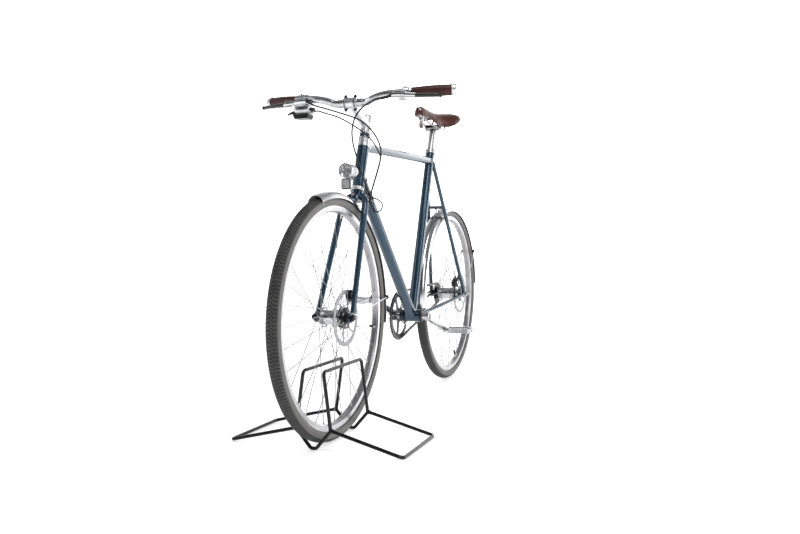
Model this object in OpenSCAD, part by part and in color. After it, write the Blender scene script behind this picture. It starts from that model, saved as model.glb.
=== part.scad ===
// City bicycle on a wire display stand. Millimetres, +X forward, +Y to the rider's left, +Z up.
// The origin is on the floor, midway between the two axles.

/* [Layout] */
// Distance between the axles
wheelbase = 1063; // [1040:1:1090]
// Bottom bracket ahead of the rear axle
bb_ahead = 427; // [422:1:440]
// Bottom bracket below the axles
bb_drop = 54; // [48:1:60]
// Angle of the head tube from the floor
head_angle = 72; // [71:0.5:73]
// Angle of the seat tube from the floor
seat_angle = 71.5; // [70.5:0.5:72.5]
// Distance from the steering axis to the front axle
fork_offset = 45; // [42:1:50]

/* [Wheels] */
// Radius of the rim at its flange
rim_flange_r = 317; // [316:0.5:318]
// Height of the tyres above the rim's flange
tyre_h = 31; // [29:0.5:33]
// Width of the tyres
tyre_w = 38; // [34:1:40]
// Thickness of the tyre wall
tyre_wall = 3.5; // [2.5:0.5:5]
// Width of the rims
rim_w = 25; // [22:1:27]
// Height of the rim section
rim_h = 19; // [16:1:22]
// Spokes in each wheel
spoke_count = 32; // [24:8:32]
// Diameter of a spoke
spoke_d = 2; // [1.8:0.1:2.4]
// Distance between the front dropouts
front_hub_w = 100; // [98:1:104]
// Distance between the rear dropouts
rear_hub_w = 135; // [132:1:138]
// Diameter of the brake rotors
rotor_d = 160; // [150:5:165]
// Thickness of the brake rotors
rotor_t = 1.8; // [1.6:0.1:2.2]

/* [Frame] */
// Length of the seat tube
seat_tube_l = 650; // [620:5:670]
// Diameter of the seat tube
seat_tube_d = 33; // [32:0.5:35]
// Length of the head tube
head_tube_l = 158; // [150:1:166]
// Diameter of the head tube
head_tube_d = 37; // [36:0.5:40]
// Diameter of the top tube
top_tube_d = 28.6; // [26:0.2:31]
// Diameter of the down tube
down_tube_d = 38; // [34:0.5:40]
// Wall thickness of the frame tubes
tube_wall = 1.6; // [1:0.1:2.2]
// Top tube below the top of the seat tube
top_tube_drop = 42; // [36:1:50]
// Top tube below the top of the head tube
top_tube_head_drop = 25; // [24:1:32]
// Down tube above the foot of the head tube
down_tube_head_rise = 34; // [30:1:40]
// Width of the bottom bracket shell
bb_shell_w = 68; // [66:1:72]
// Diameter of the bottom bracket shell
bb_shell_d = 42; // [40:1:44]
// Diameter of the chainstays at the bottom bracket
chainstay_d = 16; // [14:0.5:17]
// Diameter of the seatstays
seatstay_d = 15; // [13:0.5:16]
// Thickness of the dropout plates
dropout_t = 6; // [5:0.5:7]

/* [Fork and steering] */
// Length of the fork from the axle to the crown race
fork_l = 400; // [396:1:408]
// Height of the lower headset cup
headset_h = 12; // [10:0.5:14]
// Diameter of the lower headset cup
headset_d = 42; // [40:0.5:44]
// Height of the cover over the upper headset bearing
headset_cover_h = 3; // [2:0.5:5]
// Diameter of the fork blades at the crown
blade_d = 25; // [22:0.5:26]
// Height of the spacer under the stem
spacer_h = 16; // [10:1:25]
// Diameter of the steerer
steerer_d = 28.6; // [28:0.1:29]
// Length of the stem
stem_l = 123; // [110:1:130]
// Rise of the stem from square to the steerer
stem_rise = 9; // [5:1:14]
// Half width of the handlebar
bar_half = 306; // [296:1:312]
// Diameter of the handlebar at the stem
bar_clamp_d = 25.4; // [25:0.2:26]
// Diameter of the handlebar at the grips
bar_d = 22.2; // [22:0.1:22.6]
// Length of a grip
grip_l = 128; // [120:1:132]
// Largest diameter of a grip
grip_d = 33; // [31:0.5:35]

/* [Seat] */
// Height of the seat clamp above the top of the seat tube
seatpost_rise = 96; // [80:1:110]
// Diameter of the seatpost
seatpost_d = 27.2; // [26.8:0.2:27.4]
// Length of the saddle
saddle_l = 302; // [290:1:310]
// Width of the saddle
saddle_w = 168; // [155:1:175]
// Thickness of the saddle leather
saddle_t = 5; // [4:0.5:6]

/* [Drive] */
// Teeth on the chainring
ring_teeth = 42; // [40:1:44]
// Teeth on the rear sprocket
cog_teeth = 20; // [18:1:22]
// Pitch of the chain
chain_pitch = 12.7; // [12.7]
// Distance from the middle of the bicycle to the chain
chain_line = 48; // [48:0.5:50]
// Length of the cranks
crank_l = 170; // [165:1:172]
// Angle of the left crank below the horizontal, pointing back
crank_angle = 22; // [0:1:360]
// Width of a pedal along its spindle
pedal_w = 92; // [84:1:98]
// Length of a pedal along the foot
pedal_l = 64; // [56:1:70]

/* [Mudguards] */
// Inner radius of the mudguard section
guard_r = 23; // [22.5:0.5:26]
// Thickness of the mudguards
guard_t = 1.4; // [1:0.2:2]
// Gap between tyre and mudguard over the crown of the tread
guard_gap = 8; // [7:0.5:12]

/* [Lamp] */
// Diameter of the headlamp
lamp_d = 44; // [40:1:48]
// Length of the headlamp
lamp_l = 66; // [56:1:72]
// Width of the reflector under the headlamp
reflector_w = 29; // [24:1:34]
// Height of the reflector under the headlamp
reflector_h = 32; // [26:1:36]

/* [Display stand] */
// Diameter of the stand's rod
stand_rod_d = 10; // [8:0.5:11]
// Half the length of the stand along the wheel
stand_half_l = 123; // [118:1:130]
// Half the width of the stand over its feet
stand_half_w = 265; // [240:1:280]
// Height of the stand's uprights
stand_h = 219; // [205:1:232]

/* [Hidden] */

$fn = 64;
joint_gap = 0.05;
fit_gap = 0.3;
over = 1;

paint = "#1f3f57";
chrome = "#d7dade";
black = "#1b1c1e";
rubber = "#2b2b2c";
leather = "#5a2f24";
steel = "#b9bdc2";

// Points on the centre plane
tyre_r = rim_flange_r + tyre_h;
rear = [-wheelbase / 2, 0, tyre_r];
front = [wheelbase / 2, 0, tyre_r];
bb = [rear.x + bb_ahead, 0, tyre_r - bb_drop];
seat_dir = [-cos(seat_angle), 0, sin(seat_angle)];
head_dir = [-cos(head_angle), 0, sin(head_angle)];
fore_dir = [sin(head_angle), 0, cos(head_angle)];
steer_foot = front - fork_offset * fore_dir;
function steer(s) = steer_foot + s * head_dir;
function seat(s) = bb + s * seat_dir;
head_low_s = fork_l + headset_h;
head_top_s = head_low_s + head_tube_l;
stem_low_s = head_top_s + headset_cover_h + spacer_h;
stem_clamp_h = 46;
stem_mid_s = stem_low_s + stem_clamp_h / 2;
stem_tilt = 90 - head_angle + stem_rise;
bar_centre = steer(stem_mid_s) + stem_l * [cos(stem_tilt), 0, sin(stem_tilt)];
top_tube_rear = seat(seat_tube_l - top_tube_drop);
top_tube_front = steer(head_top_s - top_tube_head_drop);
down_tube_front = steer(head_low_s + down_tube_head_rise);
saddle_clamp = seat(seat_tube_l + seatpost_rise);

// Vectors and swept tubes
function unit(v) = v / norm(v);
function mirror_y(p) = [p.x, -p.y, p.z];
function tangent(p, i) = unit(p[min(i + 1, len(p) - 1)] - p[max(i - 1, 0)]);
function carry(n, t) = unit(n - t * (n * t));
function normals(p, n0) = [
    for (i = 0, n = carry(n0, tangent(p, 0)); i < len(p);
         i = i + 1, n = carry(n, tangent(p, min(i, len(p) - 1)))) n
];
function spline(a, b, c, d, u) =
    (2 * b + (c - a) * u + (2 * a - 5 * b + 4 * c - d) * u * u + (3 * b - a - 3 * c + d) * u * u * u) / 2;
function smooth(p, steps) = [
    for (i = [0 : len(p) - 2]) for (k = [0 : steps - 1])
        spline(p[max(i - 1, 0)], p[i], p[i + 1], p[min(i + 2, len(p) - 1)], k / steps),
    p[len(p) - 1]
];
function bend(a, b, c, r, steps) =
    let (
        u = unit(a - b),
        v = unit(c - b),
        half = acos(u * v) / 2,
        reach = r / tan(half),
        axis = unit(u + v),
        hub = b + axis * r / sin(half),
        first = b + u * reach - hub,
        turn = 180 - 2 * half
    )
    [for (k = [0 : steps]) hub + first * cos(turn * k / steps) - u * r * sin(turn * k / steps)];
function rounded(p, r, steps) = concat(
    [p[0]],
    [for (i = [1 : len(p) - 2]) each bend(p[i - 1], p[i], p[i + 1], r, steps)],
    [p[len(p) - 1]]
);

module sweep(p, r, sides, n0) {
    last = len(p) - 1;
    across = normals(p, n0);
    points = [
        for (i = [0 : last]) let (
            a = across[i],
            b = cross(tangent(p, i), a),
            ri = is_list(r) ? r[0] + (r[1] - r[0]) * i / last : r
        )
            for (k = [0 : sides - 1]) p[i] + ri * (a * cos(360 * k / sides) + b * sin(360 * k / sides))
    ];
    walls = [
        for (i = [0 : last - 1]) for (k = [0 : sides - 1])
            let (n = (k + 1) % sides, q = i * sides, t = q + sides)
            each [[q + k, t + k, t + n], [q + k, t + n, q + n]]
    ];
    caps = [
        [for (k = [0 : sides - 1]) k],
        [for (k = [sides - 1 : -1 : 0]) last * sides + k]
    ];
    polyhedron(points = points, faces = concat(walls, caps), convexity = 6);
}
module place(p, q) {
    d = q - p;
    translate(p) rotate([0, acos(d.z / norm(d)), atan2(d.y, d.x)]) children();
}
module rod(p, q, r) {
    place(p, q) cylinder(h = norm(q - p), r = r);
}
module tube(p, q, r, wall) {
    place(p, q) difference() {
        cylinder(h = norm(q - p), r = r);
        translate([0, 0, -over]) cylinder(h = norm(q - p) + 2 * over, r = r - wall);
    }
}
module both_sides() {
    children();
    mirror([0, 1, 0]) children();
}
// A solid of revolution about the Y axis through a point
module axle_turned(c) {
    translate(c) rotate([-90, 0, 0]) children();
}
module wheel_section(c) {
    translate(c) rotate([90, 0, 0]) rotate_extrude($fn = 180) children();
}

// Radii of the mudguards about the axles
guard_centre = tyre_r + guard_gap - guard_r;
guard_lip = 5;
guard_top_r = guard_centre + guard_r + guard_t;

// Frame
module head_core(grow) {
    rod(steer(head_low_s - over), steer(head_top_s + over), head_tube_d / 2 + grow);
}
module seat_core(grow) {
    rod(bb, seat(seat_tube_l), seat_tube_d / 2 + grow);
}
module shell_core(grow) {
    axle_turned(bb) translate([0, 0, -bb_shell_w / 2 - over])
        cylinder(h = bb_shell_w + 2 * over, d = bb_shell_d + 2 * grow);
}
// The head tube's bore clears the steerer all round
steerer_clear = 1;
module head_tube() {
    wall = (head_tube_d - steerer_d) / 2 - steerer_clear;
    color(paint) tube(steer(head_low_s), steer(head_top_s), head_tube_d / 2, wall);
}
module top_tube() {
    color(paint) difference() {
        tube(top_tube_rear, top_tube_front, top_tube_d / 2, tube_wall);
        head_core(joint_gap);
        seat_core(joint_gap);
    }
}
module down_tube() {
    color(paint) difference() {
        tube(bb, down_tube_front, down_tube_d / 2, tube_wall);
        head_core(joint_gap);
        shell_core(joint_gap);
        seat_core(joint_gap);
        rod(steer(fork_l), steer(head_low_s), headset_d / 2 + joint_gap);
    }
}
boss_low = 444;
boss_pitch = 64;
boss_r = 5.5;
boss_bore_r = 2.5;
boss_h = 2.5;
seat_fore = [sin(seat_angle), 0, cos(seat_angle)];
module seat_tube() {
    color(paint) difference() {
        union() {
            rod(bb, seat(seat_tube_l), seat_tube_d / 2);
            for (s = [boss_low, boss_low + boss_pitch])
                rod(seat(s), seat(s) + seat_fore * (seat_tube_d / 2 + boss_h), boss_r);
        }
        place(seat(-over), seat(seat_tube_l))
            cylinder(h = seat_tube_l + 3 * over, d = seatpost_d + 2 * fit_gap);
        for (s = [boss_low, boss_low + boss_pitch])
            rod(seat(s), seat(s) + seat_fore * seat_tube_d, boss_bore_r);
        shell_core(joint_gap);
    }
}
spindle_d = 24;
module bottom_bracket() {
    color(paint) axle_turned(bb) difference() {
        translate([0, 0, -bb_shell_w / 2]) cylinder(h = bb_shell_w, d = bb_shell_d);
        translate([0, 0, -bb_shell_w / 2 - over])
            cylinder(h = bb_shell_w + 2 * over, d = spindle_d + 2 * fit_gap);
    }
}
rear_drop_y = rear_hub_w / 2 + dropout_t / 2;
drop_r = 17;
drop_cut_in = 12;
drop_cut_w = 36;
stay_clear = 32.5;
chainstay_taper = 1.5;
chainstay_end = rear + [drop_r, 0, -3];
module chainstays() {
    path = smooth([
        [bb.x - 8, 24, bb.z + 2],
        [bb.x - 45, 29, bb.z + 7],
        [bb.x - 95, stay_clear, bb.z + 13],
        [bb.x - 190, 46, bb.z + 24],
        [chainstay_end.x + 40, rear_drop_y - 4, chainstay_end.z - 5],
        [chainstay_end.x - 4, rear_drop_y, chainstay_end.z]
    ], 3);
    color(paint) both_sides() difference() {
        sweep(path, [chainstay_d / 2, chainstay_d / 2 - chainstay_taper], 16, [0, 0, 1]);
        shell_core(joint_gap);
        drop_core(joint_gap);
    }
}
module drop_core(grow) {
    axle_turned(rear) translate([0, 0, rear_hub_w / 2 - drop_cut_in])
        cylinder(h = drop_cut_w, r = drop_r + grow);
}
seatstay_drop = 48;
seatstay_high = seat(seat_tube_l - seatstay_drop) + [-6, 12, 0];
seatstay_low = rear + [6, rear_drop_y, 10];
function seatstay_point(u) = (1 - u) * seatstay_high + u * seatstay_low;
module seatstays() {
    color(paint) both_sides() difference() {
        tube(seatstay_point(0), seatstay_point(1), seatstay_d / 2, tube_wall);
        seat_core(joint_gap);
        drop_core(joint_gap);
    }
}
bridge_d = 12;
bridge_lift = 17;
bridge_r = guard_top_r + bridge_lift + bridge_d / 2;
stay_from = [seatstay_high.x - rear.x, seatstay_high.z - rear.z];
stay_run = [seatstay_low.x - seatstay_high.x, seatstay_low.z - seatstay_high.z];
stay_mean = stay_from * stay_run / (stay_run * stay_run);
stay_past = (stay_from * stay_from - bridge_r * bridge_r) / (stay_run * stay_run);
bridge_share = -stay_mean - sqrt(stay_mean * stay_mean - stay_past);
module stay_bridges() {
    m = seatstay_point(bridge_share);
    color(paint) difference() {
        rod(mirror_y(m), m, bridge_d / 2);
        both_sides() rod(seatstay_point(0), seatstay_point(1), seatstay_d / 2 + joint_gap);
    }
}
axle_r = 5;
eyelet = [-10, 0, 22];
eyelet_r = 7;
eyelet_web = [11, 14];
eyelet_web_at = [1, 9];
hub_nose_r = 17;
module dropouts() {
    color(paint) both_sides() axle_turned(rear) translate([0, 0, rear_hub_w / 2]) difference() {
        union() {
            cylinder(h = dropout_t, r = drop_r);
            translate([eyelet.x, -eyelet.z, 0]) cylinder(h = dropout_t, r = eyelet_r);
            translate([eyelet.x + eyelet_web_at.x, -eyelet.z + eyelet_web_at.y, dropout_t / 2])
                cube([eyelet_web.x, eyelet_web.y, dropout_t], center = true);
        }
        translate([0, 0, -over]) cylinder(h = dropout_t + 2 * over, r = axle_r + joint_gap);
        translate([eyelet.x, -eyelet.z, -over]) cylinder(h = dropout_t + 2 * over, r = boss_bore_r);
    }
}
module headset() {
    bore = steerer_d / 2 + fit_gap;
    color(chrome) {
        place(steer(head_top_s + joint_gap), steer(head_top_s + headset_cover_h)) difference() {
            cylinder(
                h = headset_cover_h - 2 * joint_gap,
                d1 = head_tube_d, d2 = head_tube_d - 2 * headset_cover_h
            );
            translate([0, 0, -over]) cylinder(h = headset_cover_h + 2 * over, r = bore);
        }
        place(steer(fork_l + 2 * fit_gap), steer(head_low_s)) difference() {
            cylinder(h = headset_h - 2 * fit_gap - joint_gap, d = headset_d);
            translate([0, 0, -over]) cylinder(h = headset_h + 2 * over, r = bore);
        }
    }
}
clamp_h = 15;
clamp_t = 3.5;
clamp_ear = [14, 13];
clamp_slot = 2;
module seat_clamp() {
    low = seat(seat_tube_l - clamp_h);
    high = seat(seat_tube_l);
    color(chrome) difference() {
        union() {
            rod(low, high, seat_tube_d / 2 + clamp_t);
            place(low, high) translate([seat_tube_d / 2 + clamp_t, 0, clamp_h / 2])
                cube([clamp_ear.x, clamp_ear.y, clamp_h - 2 * over], center = true);
        }
        seat_core(joint_gap);
        rod(low - seat_dir, high + seat_dir, seat_tube_d / 2 + joint_gap);
        place(low, high) translate([seat_tube_d / 2 + clamp_t, 0, clamp_h / 2])
            cube([2 * clamp_ear.x, clamp_slot, clamp_h + 2 * over], center = true);
    }
}
post_inside = 90;
post_wall = 2.5;
post_solid = 40;
module seatpost() {
    color(chrome) place(seat(seat_tube_l - post_inside), saddle_clamp) difference() {
        cylinder(h = post_inside + seatpost_rise - rail_clamp_r - fit_gap, d = seatpost_d);
        translate([0, 0, -over]) cylinder(
            h = post_inside + seatpost_rise - post_solid, d = seatpost_d - 2 * post_wall
        );
    }
}

// Saddle: stations run from the rear, as shares of length, half width, height and skirt depth
saddle_behind = 127;
saddle_above = 38;
saddle_rear_x = saddle_clamp.x - saddle_behind;
saddle_base_z = saddle_clamp.z + saddle_above;
saddle_stations = [
    [0.000, 0.52, 27, 13], [0.035, 0.78, 31, 20], [0.100, 0.96, 31, 28], [0.170, 1.00, 28, 36],
    [0.260, 0.90, 23, 47], [0.360, 0.68, 19, 55], [0.460, 0.50, 17, 55], [0.560, 0.38, 16, 46],
    [0.680, 0.30, 17, 36], [0.800, 0.26, 20, 34], [0.900, 0.235, 21, 36], [0.965, 0.19, 18, 34],
    [1.000, 0.10, 11, 24]
];
saddle_sides = 18;
shoulder = 0.7;
function saddle_ring(s, t) = [
    for (k = [0 : saddle_sides])
        let (a = 90 * (2 * k / saddle_sides - 1), w = s[1] * saddle_w / 2 - t, h = s[3])
        [
            saddle_rear_x + t + s[0] * (saddle_l - 2 * t),
            w * sin(a),
            saddle_base_z + s[2] - t - (h - t) * (1 - pow(cos(a), shoulder))
        ]
];
// A shell under the stations from one to another, between two depths and two points of the ring
module saddle_shell(from, to, left, right, t0, t1) {
    n = to - from + 1;
    m = right - left + 1;
    points = [
        for (t = [t0, t1]) for (i = [from : to])
            let (ring = saddle_ring(saddle_stations[i], t))
            for (k = [left : right]) ring[k]
    ];
    skins = [
        for (i = [0 : n - 2]) for (k = [0 : m - 2])
            let (a = i * m + k, b = a + m, c = n * m + a, d = n * m + b)
            each [[a, a + 1, b + 1], [a, b + 1, b], [c, d + 1, c + 1], [c, d, d + 1]]
    ];
    edges = [
        for (i = [0 : n - 2])
            let (a = i * m, b = a + m, c = n * m + a, d = c + m)
            let (e = b - 1, f = e + m, g = d - 1, h = g + m)
            each [[a, b, d], [a, d, c], [e, h, f], [e, g, h]]
    ];
    ends = [
        for (k = [0 : m - 2])
            let (a = k, c = n * m + k, b = (n - 1) * m + k, d = n * m + b)
            each [[a, c, c + 1], [a, c + 1, a + 1], [b, d + 1, d], [b, b + 1, d + 1]]
    ];
    polyhedron(points = points, faces = concat(skins, edges, ends), convexity = 8);
}
module saddle() {
    color(leather) saddle_shell(0, len(saddle_stations) - 1, 0, saddle_sides, 0, saddle_t);
}
rail_d = 7;
rail_y = 22;
rail_clamp_r = 12;
rail_bore_l = 60;
plate_under = saddle_t + 2 * joint_gap;
plate_low = saddle_t + 3;
module saddle_frame() {
    c = saddle_clamp;
    last = len(saddle_stations) - 1;
    rear_end = saddle_ring(saddle_stations[1], plate_low)[saddle_sides - 5];
    nose_end = saddle_ring(saddle_stations[last - 2], plate_low)[saddle_sides / 2 + 2];
    path = smooth([
        rear_end, rear_end + [16, -6, -14], [c.x - 62, rail_y + 4, c.z + 5], [c.x - 40, rail_y, c.z],
        [c.x + 30, rail_y, c.z], [c.x + 70, 13, c.z + 5], [c.x + 115, 9, c.z + 18], nose_end
    ], 3);
    color(steel) {
        both_sides() sweep(path, rail_d / 2, 10, [0, 0, 1]);
        saddle_shell(0, 2, 3, saddle_sides - 3, plate_under, plate_low);
        saddle_shell(last - 3, last, 2, saddle_sides - 2, plate_under, plate_low);
        translate(c) difference() {
            rotate([90, 0, 0]) cylinder(h = 2 * rail_y + rail_d + fit_gap, r = rail_clamp_r, center = true);
            for (s = [-1, 1]) translate([0, s * rail_y, 0]) rotate([0, 90, 0])
                cylinder(h = rail_bore_l, r = rail_d / 2 + joint_gap, center = true);
        }
    }
}

// Rear of the bicycle
rear_axle_past = 16;
front_axle_past = 10;
module wheel_axle(c, hub_w, past) {
    half = hub_w / 2 + dropout_t + past;
    color(chrome) axle_turned(c) cylinder(h = 2 * half, r = axle_r, center = true);
}
module rear_axle() {
    wheel_axle(rear, rear_hub_w, rear_axle_past);
}
rear_rotor_y = rear_hub_w / 2 - 15;
front_rotor_y = front_hub_w / 2 - 11;
caliper_low = 22;
caliper_high = 4;
caliper_half_l = 17;
caliper_side_gap = 1.5;
front_caliper_at = 122;
rear_caliper_at = 42;
// A caliper block over the rotor, at an angle about the axle and between two distances from the rotor's plane
module caliper(c, at, inner, outer) {
    r = rotor_d / 2;
    waist = caliper_half_l - 5;
    difference() {
        union() {
            axle_turned(c) rotate([0, 0, -at]) translate([0, 0, -inner]) linear_extrude(inner + outer)
                polygon([
                    [r - caliper_low, -waist], [r - caliper_low + 8, -caliper_half_l],
                    [r - 3, -caliper_half_l], [r + caliper_high, -waist],
                    [r + caliper_high, waist], [r - 3, caliper_half_l],
                    [r - caliper_low + 8, caliper_half_l], [r - caliper_low, waist]
                ]);
            children();
        }
        axle_turned(c) cylinder(h = rotor_t + 2 * caliper_side_gap, r = r + caliper_side_gap, center = true);
    }
}
rear_mount_share = 0.86;
caliper_lug_r = 5;
module rear_caliper() {
    color(black) caliper([rear.x, rear_rotor_y, rear.z], rear_caliper_at, 14, 7) difference() {
        rod(
            seatstay_point(rear_mount_share),
            on_wheel(rear, rear_caliper_at + 4, rotor_d / 2 - 6, rear_rotor_y + 5), caliper_lug_r
        );
        rod(seatstay_point(0), seatstay_point(1), seatstay_d / 2 + joint_gap);
    }
}
module guard(c, from, to) {
    translate(c) rotate([90, 0, 0]) rotate([0, 0, from]) rotate_extrude(angle = to - from, $fn = 180)
        difference() {
            translate([guard_centre, 0]) circle(r = guard_r + guard_t);
            translate([guard_centre, 0]) circle(r = guard_r);
            translate([guard_centre + guard_lip - 2 * guard_r, 0])
                square([4 * guard_r, 4 * guard_r], center = true);
        }
}
rear_guard_from = -6;
rear_guard_to = 176;
front_guard_from = 72;
front_guard_to = 188;
module rear_mudguard() {
    color(chrome) guard(rear, rear_guard_from, rear_guard_to);
}
stay_r = 1.8;
stay_lift = 0.5;
bracket_r = 5;
rear_stay_at = 150;
front_stay_at = 174;
function on_wheel(c, a, r, y) = c + [r * cos(a), y, r * sin(a)];
function guard_side(c, a) = on_wheel(c, a, guard_centre + guard_lip + stay_r, guard_r + guard_t + stay_r);
module rear_mudguard_stays() {
    m = seatstay_point(bridge_share);
    a = atan2(m.z - rear.z, m.x - rear.x);
    color(chrome) {
        both_sides() rod(
            rear + [-13, rear_drop_y + dropout_t / 2 + stay_r + stay_lift, 5],
            guard_side(rear, rear_stay_at), stay_r
        );
        rod(
            on_wheel(rear, a, guard_top_r + joint_gap, 0),
            on_wheel(rear, a, bridge_r - bridge_d / 2 - joint_gap, 0), bracket_r
        );
    }
}

// Chain: a closed loop of pins round the chainring and the sprocket
ring_r = chain_pitch / 2 / sin(180 / ring_teeth);
cog_r = chain_pitch / 2 / sin(180 / cog_teeth);
to_rear = rear - bb;
centres = norm(to_rear);
run_tilt = atan2(to_rear.z, to_rear.x);
lean = asin((ring_r - cog_r) / centres);
straight = centres * cos(lean);
cog_arc = cog_r * (180 - 2 * lean) * PI / 180;
ring_arc = ring_r * (180 + 2 * lean) * PI / 180;
loop_l = 2 * straight + cog_arc + ring_arc;
link_count = 2 * round(loop_l / chain_pitch / 2);
link_l = loop_l / link_count;
function turn2(a) = [cos(a), sin(a)];
function loop_at(s) =
    s < straight ? ring_r * turn2(90 - lean) + s * turn2(-lean)
    : s < straight + cog_arc
        ? [centres, 0] + cog_r * turn2(90 - lean - (s - straight) / cog_r * 180 / PI)
    : s < 2 * straight + cog_arc
        ? [centres, 0] + cog_r * turn2(lean - 90) - (s - straight - cog_arc) * turn2(lean)
    : ring_r * turn2(lean - 90 - (s - 2 * straight - cog_arc) / ring_r * 180 / PI);
function loop_point(s) = loop_at(s - loop_l * floor(s / loop_l));
function loop_side(s, w) =
    let (d = loop_point(s + 0.5) - loop_point(s - 0.5), n = [-d.y, d.x] / norm(d))
    loop_point(s) + n * w;
pin_half = 4.3;
waist_half = 3.1;
pin_flat = 2.2;
tooth_t = 2;
plate_t = 1.1;
tooth_clear = 0.7;
plate_in = tooth_t / 2 + tooth_clear;
roller_r = 3.9;
roller_clear = 16;
function plate_edge(side) = [
    for (i = [0 : link_count - 1]) each [
        loop_side(i * link_l - pin_flat, side * pin_half),
        loop_side(i * link_l + pin_flat, side * pin_half),
        loop_side((i + 0.5) * link_l, side * waist_half)
    ]
];
function has_roller(i) =
    let (p = loop_point(i * link_l))
    norm(p) > ring_r + roller_clear && norm(p - [centres, 0]) > cog_r + roller_clear;
module chain_plane(y) {
    translate([bb.x, y, bb.z]) rotate([90, 0, 0]) rotate([0, 0, run_tilt]) children();
}
module chain() {
    color(steel) chain_plane(-chain_line) {
        for (s = [0, 1]) mirror([0, 0, s]) translate([0, 0, plate_in]) linear_extrude(plate_t) difference() {
            polygon(plate_edge(1));
            polygon(plate_edge(-1));
        }
        for (i = [0 : link_count - 1]) if (has_roller(i))
            translate([loop_point(i * link_l).x, loop_point(i * link_l).y, -plate_in - plate_t / 2])
                cylinder(h = 2 * plate_in + plate_t, r = roller_r, $fn = 12);
    }
}
ring_band = 17;
function toothed(n) = [
    for (i = [0 : n - 1]) let (
        pitch_r = chain_pitch / 2 / sin(180 / n),
        tip_r = chain_pitch / 2 * (0.6 + 1 / tan(180 / n)),
        root_r = pitch_r - roller_r,
        a = 360 * i / n,
        step = 360 / n
    ) each [
        root_r * turn2(a - 0.16 * step), root_r * turn2(a + 0.16 * step),
        (pitch_r + 0.6) * turn2(a + 0.34 * step), tip_r * turn2(a + 0.46 * step),
        tip_r * turn2(a + 0.54 * step), (pitch_r + 0.6) * turn2(a + 0.66 * step)
    ]
];
module chainring() {
    color(black) chain_plane(-chain_line) difference() {
        translate([0, 0, -tooth_t / 2]) linear_extrude(tooth_t) polygon(toothed(ring_teeth));
        translate([0, 0, -tooth_t]) cylinder(h = 2 * tooth_t, r = ring_r - ring_band);
    }
}
module rear_sprocket() {
    color(black) translate([rear.x, -chain_line, rear.z]) rotate([90, 0, 0]) difference() {
        translate([0, 0, -tooth_t / 2]) linear_extrude(tooth_t) polygon(toothed(cog_teeth));
        translate([0, 0, -tooth_t]) cylinder(h = 2 * tooth_t, r = hub_nose_r + joint_gap);
    }
}

// Cranks and pedals
pedal_pin_r = 7;
crank_in = 55;
crank_t = 13;
crank_out = 70;
function crank_tip(side) = bb + side * crank_l * [-cos(crank_angle), 0, -sin(crank_angle)];
boss_half = 16;
tip_half = 11;
waist_low = 9;
waist_high = 12;
tip_t = crank_t - 2;
module round_at(p, h, r) {
    translate(p) rotate([90, 0, 0]) cylinder(h = h, r = r, center = true, $fn = 32);
}
module crank_arm(side) {
    y0 = side * (crank_in + crank_t / 2);
    y1 = side * (crank_out + crank_t / 2);
    tip = crank_tip(side);
    difference() {
        union() {
            hull() {
                round_at([bb.x, y0, bb.z], crank_t, waist_high);
                round_at([tip.x, y1, tip.z], tip_t, waist_low);
            }
            round_at([bb.x, y0, bb.z], crank_t, boss_half);
            round_at([tip.x, y1, tip.z], tip_t, tip_half);
        }
        axle_turned([tip.x, y1, tip.z]) cylinder(h = 2 * crank_t, r = pedal_pin_r + joint_gap, center = true);
    }
}
spider_in = 10;
spider_root = 11;
spider_tip = 6;
spider_t = 3;
spider_hub_r = 26;
spindle_past = 4;
module cranks() {
    color(chrome) {
        crank_arm(1);
        crank_arm(-1);
        axle_turned(bb) cylinder(h = 2 * (crank_in + spindle_past), d = spindle_d, center = true);
        chain_plane(-chain_line) translate([0, 0, tooth_t / 2 + joint_gap]) {
            for (k = [0 : 4]) rotate([0, 0, 72 * k + 36]) linear_extrude(spider_t) polygon([
                [spider_in, -spider_root], [ring_r - 15, -spider_tip], [ring_r - 9, -spider_tip + 2],
                [ring_r - 9, spider_tip - 2], [ring_r - 15, spider_tip], [spider_in, spider_root]
            ]);
            cylinder(h = crank_in - chain_line, r = spider_hub_r);
        }
    }
}
pedal_in = 90;
pedal_bar = 4;
pedal_h = 17;
pedal_corner = 10;
barrel_r = 10;
barrel_taper = 2;
pedal_pin_in = 2;
function cut_corners(x, y, c) = [
    [x, y - c], [x - c, y], [c - x, y], [-x, y - c], [-x, c - y], [c - x, -y], [x - c, -y], [x, c - y]
];
module pedal(side) {
    tip = crank_tip(side);
    y_mid = side * (pedal_in + pedal_w / 2);
    y_in = side * (crank_out + pedal_pin_in);
    translate([tip.x, y_mid, tip.z]) linear_extrude(pedal_h, center = true) difference() {
        polygon(cut_corners(pedal_l / 2, pedal_w / 2, pedal_corner));
        polygon(cut_corners(pedal_l / 2 - pedal_bar, pedal_w / 2 - pedal_bar, pedal_corner - pedal_bar / 2));
    }
    place([tip.x, side * (pedal_in + over), tip.z], [tip.x, side * (pedal_in + pedal_w), tip.z])
        cylinder(h = pedal_w - 2 * over, r1 = barrel_r, r2 = barrel_r - barrel_taper);
    rod([tip.x, y_in, tip.z], [tip.x, side * (pedal_in + pedal_w - over), tip.z], pedal_pin_r);
}
module pedal_left() {
    color(chrome) pedal(1);
}
module pedal_right() {
    color(chrome) pedal(-1);
}

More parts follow.
